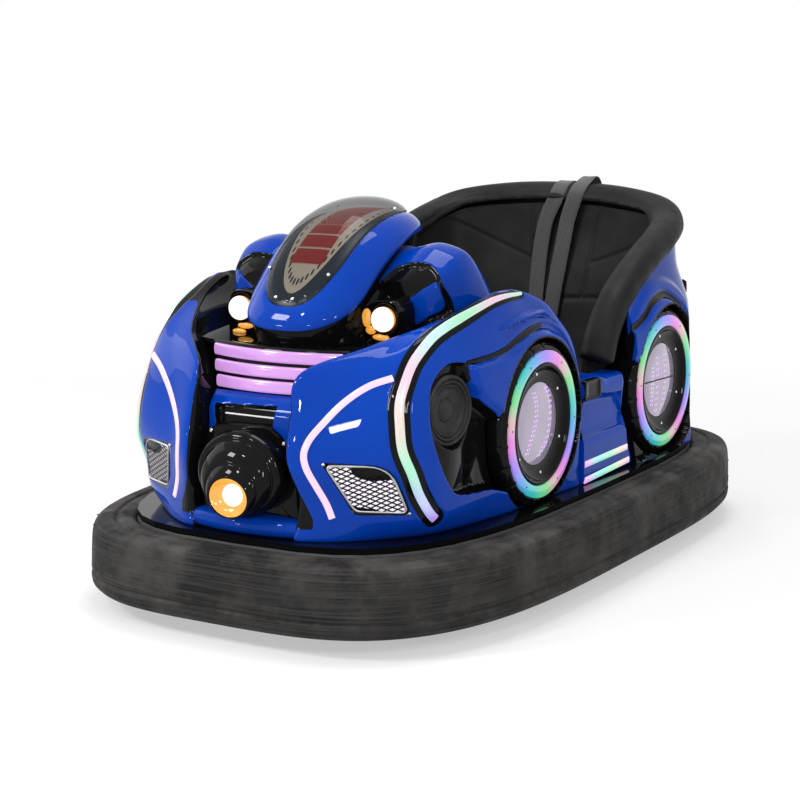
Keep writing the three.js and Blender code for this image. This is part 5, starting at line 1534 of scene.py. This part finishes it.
makeSpeakers()
print("speakers made")


# rear body: a U in plan whose top edge follows the seat roll

rollShape = {
    "path": [(380, 178, 500), (382, 205, 564), (383, 262, 630), (384, 351, 690), (386, 450, 738), (384, 545, 773),
             (366, 640, 804), (312, 716, 834), (170, 764, 856), (0, 778, 862)],
    "radius": 43.0, "inner": 12.0, "flat": 0.92,
}
rollHalf = np.array(rollShape["path"], float)
rollLine = smoothLine(np.concatenate([rollHalf, rollHalf[-2::-1] * (-1, 1, 1)]), 400)
rollHeight = rollLine[:200]

rear = {
    "levels": [
        (222, [(448, 268), (456, 450), (446, 636), (384, 752), (300, 822), (150, 866)], 874),
        (300, [(440, 268), (450, 450), (441, 642), (380, 756), (298, 830), (150, 878)], 885),
        (411, [(438, 268), (446, 450), (438, 645), (376, 758), (294, 832), (150, 880)], 888),
        (523, [(432, 268), (442, 450), (433, 645), (370, 752), (288, 822), (145, 864)], 871),
        (600, [(424, 268), (436, 440), (424, 648), (372, 748), (280, 812), (140, 838)], 845),
        (660, [(416, 268), (424, 430), (408, 640), (356, 735), (270, 795), (138, 822)], 830),
        (710, [(404, 268), (410, 430), (396, 632), (340, 722), (256, 780), (135, 808)], 816),
        (800, [(404, 268), (408, 440), (392, 628), (334, 722), (244, 780), (136, 804)], 812),
        (880, [(404, 268), (408, 440), (390, 628), (330, 720), (240, 778), (134, 802)], 810),
    ],
    "wall": 7.0, "reach": 452.0, "low": 222.0,
    "crease": [(200, 572), (217, 575), (268, 577), (331, 598), (381, 630), (460, 643), (530, 619), (600, 578),
               (640, 530)],
    "arch": [(176, 538), (200, 567), (217, 570), (268, 572), (331, 592), (381, 624), (460, 637), (530, 613),
             (595, 572), (632, 520), (700, 440), (480, 400), (335, 500), (284, 496), (220, 526), (194, 555)],
    "flare": [(150, 500), (200, 560), (237, 577), (316, 640), (379, 675), (471, 687), (556, 662), (614, 622),
              (660, 570), (720, 470), (720, 222), (150, 222)],
    "recess": [(200, 500), (208, 455), (222, 420), (240, 300), (250, 240), (420, 240), (420, 420), (314, 462),
               (272, 494), (230, 505)],
}


def uNet(levels):
    # the left side, the tail and the right side of each level
    rows = []
    for z, half, tail in levels:
        left = [(x, y, z) for x, y in half]
        rows.append(left + [(0, tail, z)] + [(-x, y, z) for x, y in reversed(half)])
    return np.array(rows, float)


def drawnIn(grid, distance):
    # the same sheet moved inwards in plan
    along = np.gradient(grid, axis=0)
    out = unit(np.stack([along[..., 1], -along[..., 0], np.zeros(grid.shape[:2])], -1))
    middle = grid.mean((0, 1))
    if ((grid - middle) * out).sum() < 0:
        out = -out
    return grid - out * distance


def rollTop(y):
    return np.interp(y, rollHeight[:, 1], rollHeight[:, 2])


def wallUnderRoll(levels, counts, rows, low, sample, drop):
    # smooth levels made into upright stations, each cut off just under the seat roll
    stations = spread(counts + counts[::-1])
    net = uNet(levels)
    lines = np.array([smoothLine(row, stations) for row in net])
    fine = smoothLine(lines.reshape(len(net), -1), 500).reshape(500, len(stations), 3)
    wall = np.zeros((len(stations), rows, 3))
    for i in range(len(stations)):
        top = rollTop(min(fine[sample, i, 1], 777)) - drop
        z = low + (top - low) * np.linspace(0, 1, rows)
        wall[i] = np.stack([np.interp(z, fine[:, i, 2], fine[:, i, k]) for k in (0, 1)] + [z], 1)
    return wall


def makeRear():
    # the outer skin with its relief pushed in or out sideways, and an inner skin behind it
    outer = wallUnderRoll(rear["levels"], [46, 52, 34, 20, 22, 20], 130, rear["low"], 300, 8)
    inner = drawnIn(outer, rear["wall"])
    side = np.abs(outer[..., 0]) > 330
    sign = np.sign(outer[..., 0])
    plan = outer[..., 1:].reshape(-1, 2)
    sideOnly = lambda values: np.where(side, values.reshape(side.shape), farOff)
    within = lambda name: sideOnly(toOutline(plan, smoothLine(rear[name], 120, True)))
    recess, arch, flare = within("recess"), within("arch"), within("flare")
    pocket = sideOnly(np.hypot(*(plan - coverSpot["rear"]).T) - coverSpot["pocket"])
    far, where = toLine(plan, smoothLine(rear["crease"], 60))
    crease = sideOnly(far - np.interp(where, [0, 0.3, 0.6, 1], [7, 9, 11, 3]))
    push = (10 * ease(-flare, -6, 16) + 6 * ease(-arch, 0, 12) * (1 - ease(-recess, -2, 6))
            - 8 * (1 - ease(crease, -4, 4)))
    push = push * (1 - ease(outer[..., 1], 600, 660))
    crease = crease + 30 * ease(outer[..., 1], 560, 640)
    x = np.abs(outer[..., 0]) + np.where(side, push, 0)
    x = x - 40 * ease(-recess, 0, 9) * side
    x = np.minimum(pressedTo(x, ease(-pocket, 0, 6) * side, coverSpot["pocketFloor"]), rear["reach"])
    outer[..., 0] = np.where(side, sign * x, outer[..., 0])
    frontEdge = np.minimum(302 - outer[..., 1], 474 - outer[..., 2])
    # black is the recess, the crease, the front edge, and the wheel pocket with a 5 mm rim round it; the pocket
    # and rim are a painted shadow of the gap round the wheel cover
    dark = np.maximum.reduce([-recess - 1, -pocket + 5, -crease, frontEdge])
    # the inner skin keeps behind the deepest of the points round about
    near = np.where(side, np.abs(outer[..., 0]) - rear["wall"], 1e3)
    limit = np.minimum.reduce([np.roll(near, (i, j), (0, 1)) for i in range(-3, 4) for j in range(-4, 5)])
    inner[..., 0] = np.sign(inner[..., 0]) * np.minimum(np.abs(inner[..., 0]), limit)
    inner = inner[:, ::-3]
    whole = np.concatenate([outer, inner], 1)
    field = np.concatenate([dark * mm, np.full(inner.shape[:2], allBlack)], 1).ravel()
    setPiece("rear_body", Shape().grid(whole, wrapCols=True, caps=True), ["body"], "car_body", "painted_blue",
             ["rear_shell"], sharp=55, fields={"blackness": np.concatenate([field, [allBlack, allBlack]])})


tailLamp = {
    "path": [(356, 748, 628), (310, 796, 622), (262, 826, 620)],
    "case": [(-21, -14), (-21, 14), (-15, 24), (15, 24), (21, 14), (21, -14)],
    "lens": [(-10, -2), (-10, 5), (-7, 8), (7, 8), (10, 5), (10, -2)],
}


def makeTailLamps():
    # a case carried along a short line on each corner, with a lit lens on it
    lamp = Shape()
    for hand in (-1, 1):
        path = smoothLine(np.array(tailLamp["path"], float) * (hand, 1, 1), 24)
        out = unit(path - (0, 300, 622)) * (1, 1, 0)
        lamp.ribbon(path, tailLamp["case"], out, finish=0)
        lamp.ribbon(path + out * 20, tailLamp["lens"], out, finish=1)
    setPiece("tail_lamps", lamp, ["gloss", "pink"], "car_body", "gloss_black", sharp=50)


makeRear()
makeTailLamps()
print("rear made")


# sills with their bars

sill = {
    "section": [(372, 224), (434, 224), (440, 236), (440, 262), (439.5, 300), (439, 322), (434, 334), (425, 342),
                (421, 356), (419, 392), (418, 418), (424, 430), (434, 437), (437, 446), (436, 462), (431, 474),
                (420, 480), (396, 481), (372, 481)],
    "front": -20.0, "rear": [(224, 268), (275, 238), (340, 222), (380, 200), (440, 206), (481, 214)],
    "bars": [((440.5, -16, 233), (440.5, 244, 240)), ((440, -16, 273), (440, 232, 275))],
    "barSection": [(-8, -3), (-8, 0.6), (-6, 2.4), (6, 2.4), (8, 0.6), (8, -3)],
    "pocket": [(-19, 432), (72, 430), (68, 480), (-19, 481)], "pocketMiddle": (26.0, 456.0),
}


def makeSills():
    # an upright section drawn out from the front to a slanting rear edge, its top sinking a little
    profile = smoothLine(sill["section"], 110)
    part, x = np.meshgrid(np.linspace(0, 1, 60), profile[:, 0], indexing="ij")
    z = np.broadcast_to(profile[:, 1], x.shape)
    y = sill["front"] + part * (np.interp(z, *np.array(sill["rear"]).T) - sill["front"])
    drop = 8 * ease(y, 90, 130) * ease(z, 420, 470)
    drop = drop + 10 * ease(y, 40, 200) * ease(z, 320, 400) * (1 - ease(z, 440, 470))
    grid = np.stack([x, y, z - drop], -1)
    bothSides("sill_side", Shape().grid(grid, wrapCols=True, caps=True), ["body"], "car_body",
              "painted_blue", ["sill_panel"], sharp=50, fields=plainField(grid))
    bars = Shape()
    for ends in sill["bars"]:
        bars.ribbon(evenly(np.array(ends, float), 30), sill["barSection"], (1, 0, 0))
    bothSides("sill_bars", bars, ["sill"], "car_body", "light_strip", ["sill_light"], sharp=50)


def makePockets():
    # a frame round a sunk plate, on the step of each sill
    outline = roundedOutline(sill["pocket"], [6, 12, 12, 4], 6)
    middle = np.array(sill["pocketMiddle"])
    lay = lambda s, x: np.concatenate([np.full((len(outline), 1), x), middle + (outline - middle) * s], 1)
    rings = [(0.98, 424), (1, 438), (0.97, 441), (0.86, 441), (0.83, 438.9), (0.8, 438.2), (0.4, 438)]
    pocket = Shape().grid(np.array([lay(s, x) for s, x in rings]), wrapCols=True, caps=True)
    bothSides("step_pocket", pocket, ["gloss"], "car_body", "gloss_black", sharp=40)


makeSills()
makePockets()
print("sills made")


# seat: bucket, cushion, roll and belts

bucket = {
    "levels": [
        (107, [(302, 200), (304, 400), (300, 520), (262, 590), (150, 620)], 628),
        (300, [(326, 200), (334, 400), (322, 560), (277, 640), (150, 680)], 690),
        (480, [(346, 200), (350, 400), (336, 575), (287, 662), (150, 702)], 714),
        (600, [(356, 200), (358, 400), (346, 588), (296, 676), (152, 718)], 731),
        (740, [(368, 200), (370, 410), (360, 606), (310, 698), (158, 748)], 762),
        (900, [(372, 200), (376, 430), (372, 616), (322, 714), (162, 764)], 780),
    ],
    "wall": 24.0, "floor": 330.0, "low": 107.0,
    "seams": [
        [(-103, 746, 872), (-100, 744, 837), (-94, 740, 789), (-90, 733, 737), (-81, 724, 687)],
        [(134, 741, 872), (120, 740, 826), (104, 737, 769), (91, 722, 685)],
        [(-352, 620, 800), (-301, 681, 781), (-233, 708, 747), (-157, 719, 715), (-81, 723, 685)],
        [(91, 722, 682), (113, 720, 687), (177, 714, 710), (259, 699, 744), (330, 640, 770)],
        [(-330, 560, 560), (-200, 670, 566), (-110, 695, 570), (-49, 702, 576), (14, 703, 580), (78, 701, 584),
         (143, 693, 589), (240, 660, 590), (330, 560, 590)],
        [(-81, 724, 685), (-74, 710, 630), (-66, 700, 576)],
        [(91, 722, 682), (86, 708, 630), (80, 700, 584)],
    ],
    "seamHalf": 5.0, "seamDeep": 4.5,
}


def makeBucket():
    # a padded wall with sewn seams pressed in: a groove with a low swelling on each side
    outer = wallUnderRoll(bucket["levels"], [30, 34, 30, 30, 34], 120, bucket["low"], 360, 4)
    inner = drawnIn(outer, bucket["wall"])
    flat = inner.reshape(-1, 3)
    sunk = np.zeros(len(flat))
    for seam in bucket["seams"]:
        far, _ = toLine(flat, smoothLine(seam, 50))
        groove = np.exp(-(far / bucket["seamHalf"]) ** 2) * bucket["seamDeep"]
        sunk = np.maximum(sunk, groove - np.exp(-((far - 11) / 6) ** 2))
    away = drawnIn(inner, -1.0) - inner
    inner = inner + away * sunk.reshape(inner.shape[:2])[..., None]
    whole = np.concatenate([outer, inner[:, ::-1]], 1)
    shape = Shape().grid(whole, wrapCols=True, caps=True)
    ring = drawnIn(outer, bucket["wall"] - 2)[:, 48]
    plate = np.array([ring * (1, 1, 0) + (0, 0, z) for z in (bucket["floor"] - 24, bucket["floor"])])
    shape.grid(plate, wrapCols=True, caps=True)
    setPiece("seat_bucket", shape, ["vinyl"], "car_body", "seat_vinyl", ["seat_shell"], sharp=60)


cushion = {
    "rings": [  # share of the plan, height
        (0.6, 333), (0.92, 334), (0.985, 342), (1.0, 360), (1.0, 382), (0.985, 398), (0.94, 411), (0.86, 419),
        (0.7, 425), (0.5, 429), (0.25, 431), (0.06, 431.5)],
    "channels": [[(-300, 330, 431), (300, 330, 431)], [(-300, 470, 431), (300, 470, 431)]],
    "voxel": 0.006, "pressure": 4.0, "frames": 20,
}


def makeCushion():
    # crowned pad in the bucket, fuller in front, with two sewn channels
    net = uNet([bucket["levels"][1]])
    line = drawnIn(smoothLine(net[0], 160)[:, None], bucket["wall"] + 10)[:, 0]
    line[:, 1] = np.maximum(line[:, 1], 212)
    front = np.linspace(line[-1], line[0], 26)[1:-1]
    plan = evenly(np.concatenate([line, front, line[:1]]), 181)[:-1]
    middle = np.array([0, 440, 0])
    loops = [middle + (plan * (1, 1, 0) - middle) * s + (0, 0, z) for s, z in cushion["rings"]]
    rings = smoothLine(np.array(loops).reshape(len(loops), -1), 70).reshape(70, -1, 3)
    shape = Shape().grid(rings, wrapCols=True, caps=True)
    return setPiece("seat_pad", shape, ["vinyl"], "car_body", "seat_vinyl", ["seat_cushion"], sharp=80)


def pointsOf(collection, field):
    # one vector for each vertex, read as a whole array
    values = np.empty(len(collection) * 3, np.float32)
    collection.foreach_get(field, values)
    return values.reshape(-1, 3).astype(float)


def swell(piece, cap):
    # cloth pushes the skin out by a little air pressure, no point further than the cap
    remesh = piece.modifiers.new("remesh", "REMESH")
    remesh.mode = "VOXEL"
    remesh.voxel_size = cushion["voxel"]
    bpy.context.view_layer.objects.active = piece
    bpy.ops.object.modifier_apply(modifier=remesh.name)
    start = pointsOf(piece.data.vertices, "co")
    cloth = piece.modifiers.new("cloth", "CLOTH")
    cloth.settings.use_pressure = True
    cloth.settings.uniform_pressure_force = cushion["pressure"]
    cloth.settings.effector_weights.gravity = 0.0
    for moment in range(1, cushion["frames"] + 1):
        scene.frame_set(moment)
    swollen = piece.evaluated_get(bpy.context.evaluated_depsgraph_get())
    moved = pointsOf(swollen.data.vertices, "co")
    piece.modifiers.remove(cloth)
    scene.frame_set(1)
    step = moved - start
    far = np.linalg.norm(step, axis=1, keepdims=True)
    final = start + step * np.minimum(1, cap / np.maximum(far, 1e-9))
    piece.data.vertices.foreach_set("co", final.astype(np.float32).ravel())
    piece.data.update()


def channel(piece, lines, half, deep):
    # sewn channels pressed into the finished skin
    flat = pointsOf(piece.data.vertices, "co") / mm
    normal = pointsOf(piece.data.vertex_normals, "vector")
    for line in lines:
        far, _ = toLine(flat, np.asarray(line, float))
        flat = flat - normal * (np.exp(-(far / half) ** 2) * deep)[:, None]
    piece.data.vertices.foreach_set("co", (flat * mm).astype(np.float32).ravel())
    piece.data.update()


def softPiece(piece, cap, seams, half, deep):
    # swollen as cloth, its seams pressed back in, then smoothed once
    swell(piece, cap)
    channel(piece, seams, half, deep)
    piece.data.shade_smooth()
    smooth = piece.modifiers.new("soften", "SUBSURF")
    smooth.levels = smooth.render_levels = 1


def makeRoll():
    # a stuffed roll, a section carried along the line, with a welt along its inner edge
    path = evenly(rollLine, 420)
    centre = np.array([0, 420, 0])
    up = np.broadcast_to((0, 0, 1.0), path.shape)
    side, out = framed(path, up)
    count = 56
    angle = np.arange(count) / count * 2 * np.pi
    r = rollShape["radius"]
    inwards = np.sign((side * (centre - path)).sum(1).mean())
    reach = np.where(np.cos(angle) * inwards > 0, r + rollShape["inner"], r + 2)
    body = np.stack([np.cos(angle) * reach, np.sin(angle) * (r - 1.5)], 1)
    weltAt = np.abs(angle - np.pi * (0.86 if inwards < 0 else 0.14)).argmin()
    # the inner half lies flat on the back rest and fills out down the arms
    body = np.broadcast_to(body * 0.95, (len(path), *body.shape))
    squeeze = 1 - rollShape["flat"] * ease(path[:, 2], 690, 810)
    inside = np.where(np.cos(angle) * inwards > -0.3, 1.0, 0.0)[None] * (body[..., 1] < 0)
    body = np.stack([body[..., 0], body[..., 1] * (1 - inside * (1 - squeeze[:, None]))], -1)
    grid = carried(path, body, out)
    along = np.linspace(0, 1, len(path))
    puff = (0.8 * np.sin(along * 61 + 1.3) + 0.6 * np.sin(along * 137)) * 0.6
    away = unit(grid - path[:, None])
    grid = grid + away * puff[:, None, None] * ease(np.cos(angle * 2), -0.4, 0.8)[None, :, None]
    ends = []
    for end, tangent in ((0, unit(path[1] - path[0])), (-1, unit(path[-2] - path[-1]))):
        ends.append([path[end] + (grid[end] - path[end]) * s + tangent * d
                     for s, d in ((0.55, -2.0), (0.86, -1.0), (0.97, 2.5))])
    grid = np.concatenate([ends[0], grid[3:-3], ends[1][::-1]])
    roll = setPiece("seat_roll_cover", Shape().grid(grid, wrapCols=True, caps=True), ["vinyl"], "car_body",
                    "seat_vinyl", ["seat_roll"], sharp=70)
    return roll, grid[4:-4:4, weltAt]


belts = {
    "width": 46.0, "thick": 2.6, "peak": 13.0,
    "over": (-25, 5, 35, 65, 95, 125, 155, 180),  # degrees round the roll
    "hang": [(731, 806), (724, 740), (701, 600), (684, 480), (676, 440)],
    "lines": [  # sideways place over the roll, then down the back
        ([0, 0, 0, -2, -4, -8, -12, -18], [-44, -56, -60, -57, -54]),
        ([64, 64, 64, 62, 58, 54, 48, 42], [24, 14, -2, -14, -18]),
    ],
}


def makeBelts():
    # flat webbing that goes over the roll and hangs down the back rest
    shape = Shape()
    rollBack = rollShape["path"][-1]
    reach = rollShape["radius"] + 1.0
    turns = np.radians(belts["over"])
    over = list(zip(rollBack[1] + reach * np.cos(turns), rollBack[2] + (reach - 1) * np.sin(turns)))
    route = over + belts["hang"]
    for k, (first, second) in enumerate(belts["lines"]):
        line = smoothLine([(x, y, z) for x, (y, z) in zip(first + second, route)], 150)
        line = evenly(line, 150)
        along = unit(np.gradient(line, axis=0))
        out = unit(np.stack([np.zeros(len(line)), along[:, 2], -along[:, 1]], 1))
        share = np.linspace(0, 1, len(line))
        peak = belts["peak"] * k * np.exp(-((share - 0.12) / 0.035) ** 2)
        line = line + out * (1.2 + 3.0 * k) + (0, 0, 1) * peak[:, None]
        w, t = belts["width"] / 2, belts["thick"]
        profile = [(-w, 0), (-w, t * 0.6), (-w + 2.5, t), (-w * 0.3, t * 0.8), (w * 0.3, t * 0.8), (w - 2.5, t),
                   (w, t * 0.6), (w, 0)]
        grid = carried(line, profile, out)
        u, v = np.meshgrid(np.linspace(0, 1, len(line)), np.linspace(0, 1, len(profile)), indexing="ij")
        shape.grid(grid, wrapCols=True, caps=True, run=np.stack([v, u], -1))
    setPiece("lap_belts", shape, ["webbing"], "car_body", "belt_webbing", ["seat_belts"], sharp=60)


makeBucket()
softPiece(makeCushion(), 0.006, cushion["channels"], 7, 5)
roll, welt = makeRoll()
softPiece(roll, 0.0035, [welt], 3.2, 2.6)
makeBelts()
print("seat made")


# steering wheel

steer = {"centre": (0.0, -20.0, 660.0), "lean": 31.4, "radius": 140.0, "grip": 12.6,
         "hub": [(33, -26), (33, -6), (31, 0), (26, 3.4), (16, 4.6), (6, 5)],
         "spoke": [(22, 7), (50, 8), (90, 6), (120, 2), (138, 0)]}  # distance out, depth


def makeSteeringWheel():
    # a ribbed grip, a turned hub and three spokes with an oval section
    lean = math.radians(steer["lean"])
    axis = np.array([0, math.sin(lean), math.cos(lean)])
    centre = np.array(steer["centre"])
    shape = Shape()
    angle = np.arange(24) / 24 * 2 * np.pi
    r = steer["radius"]
    grip = np.stack([r + np.cos(angle) * steer["grip"], np.sin(angle) * steer["grip"]], 1)
    grid = turned(grip, centre, axis, 144, (1, 0, 0))
    turnAngle = np.arange(144) / 144 * 2 * np.pi
    ridges = 0.7 * np.clip(np.sin(turnAngle * 48), 0, 1)
    around = grid - (centre + unit(grid - centre) * r)
    grid = grid + unit(around) * ridges[None, :, None]
    shape.grid(grid, wrapRows=True, wrapCols=True)
    shape.turn(smoothLine(steer["hub"], 30), centre, axis, 48)
    side = np.array([1.0, 0, 0])
    front = np.cross(axis, side)
    for spoke in range(3):
        a = spoke / 3 * 2 * np.pi - np.pi / 2
        reach = side * math.cos(a) + front * math.sin(a)
        path = smoothLine([centre + reach * d - axis * h for d, h in steer["spoke"]], 24)
        wide = np.interp(np.linspace(0, 1, 24), [0, 0.5, 1], [15, 10, 9])
        ring = np.arange(16) / 16 * 2 * np.pi
        profile = np.stack([np.cos(ring)[None] * wide[:, None],
                            np.sin(ring)[None] * np.full((24, 1), 4.5)], -1)
        shape.grid(carried(path, profile, axis), wrapCols=True, caps=True)
    setPiece("steering_grip", shape, ["satin"], "steering_wheel", "satin_black", ["steering_wheel"], sharp=40)


makeSteeringWheel()
print("steering wheel made")

# nodes of the frame that show as they are
carriedOver = {
    "steel": ["chassis_pan", "pan_rim", "steering_fork", "rear_axle", "steering_column"],
    "gloss": ["skirt_panel", "hood_deck"],
    "satin": ["dashboard", "accelerator_pedal", "battery_block", "drive_motor"],
    "rubber": ["drive_wheel", "rear_wheel_left", "rear_wheel_right"],
}
for key, names in carriedOver.items():
    for name in names:
        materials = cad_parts[name].data.materials
        if not materials:
            materials.append(paint[key])
        for k in range(len(materials)):
            materials[k] = paint[key]
print("frame painted")
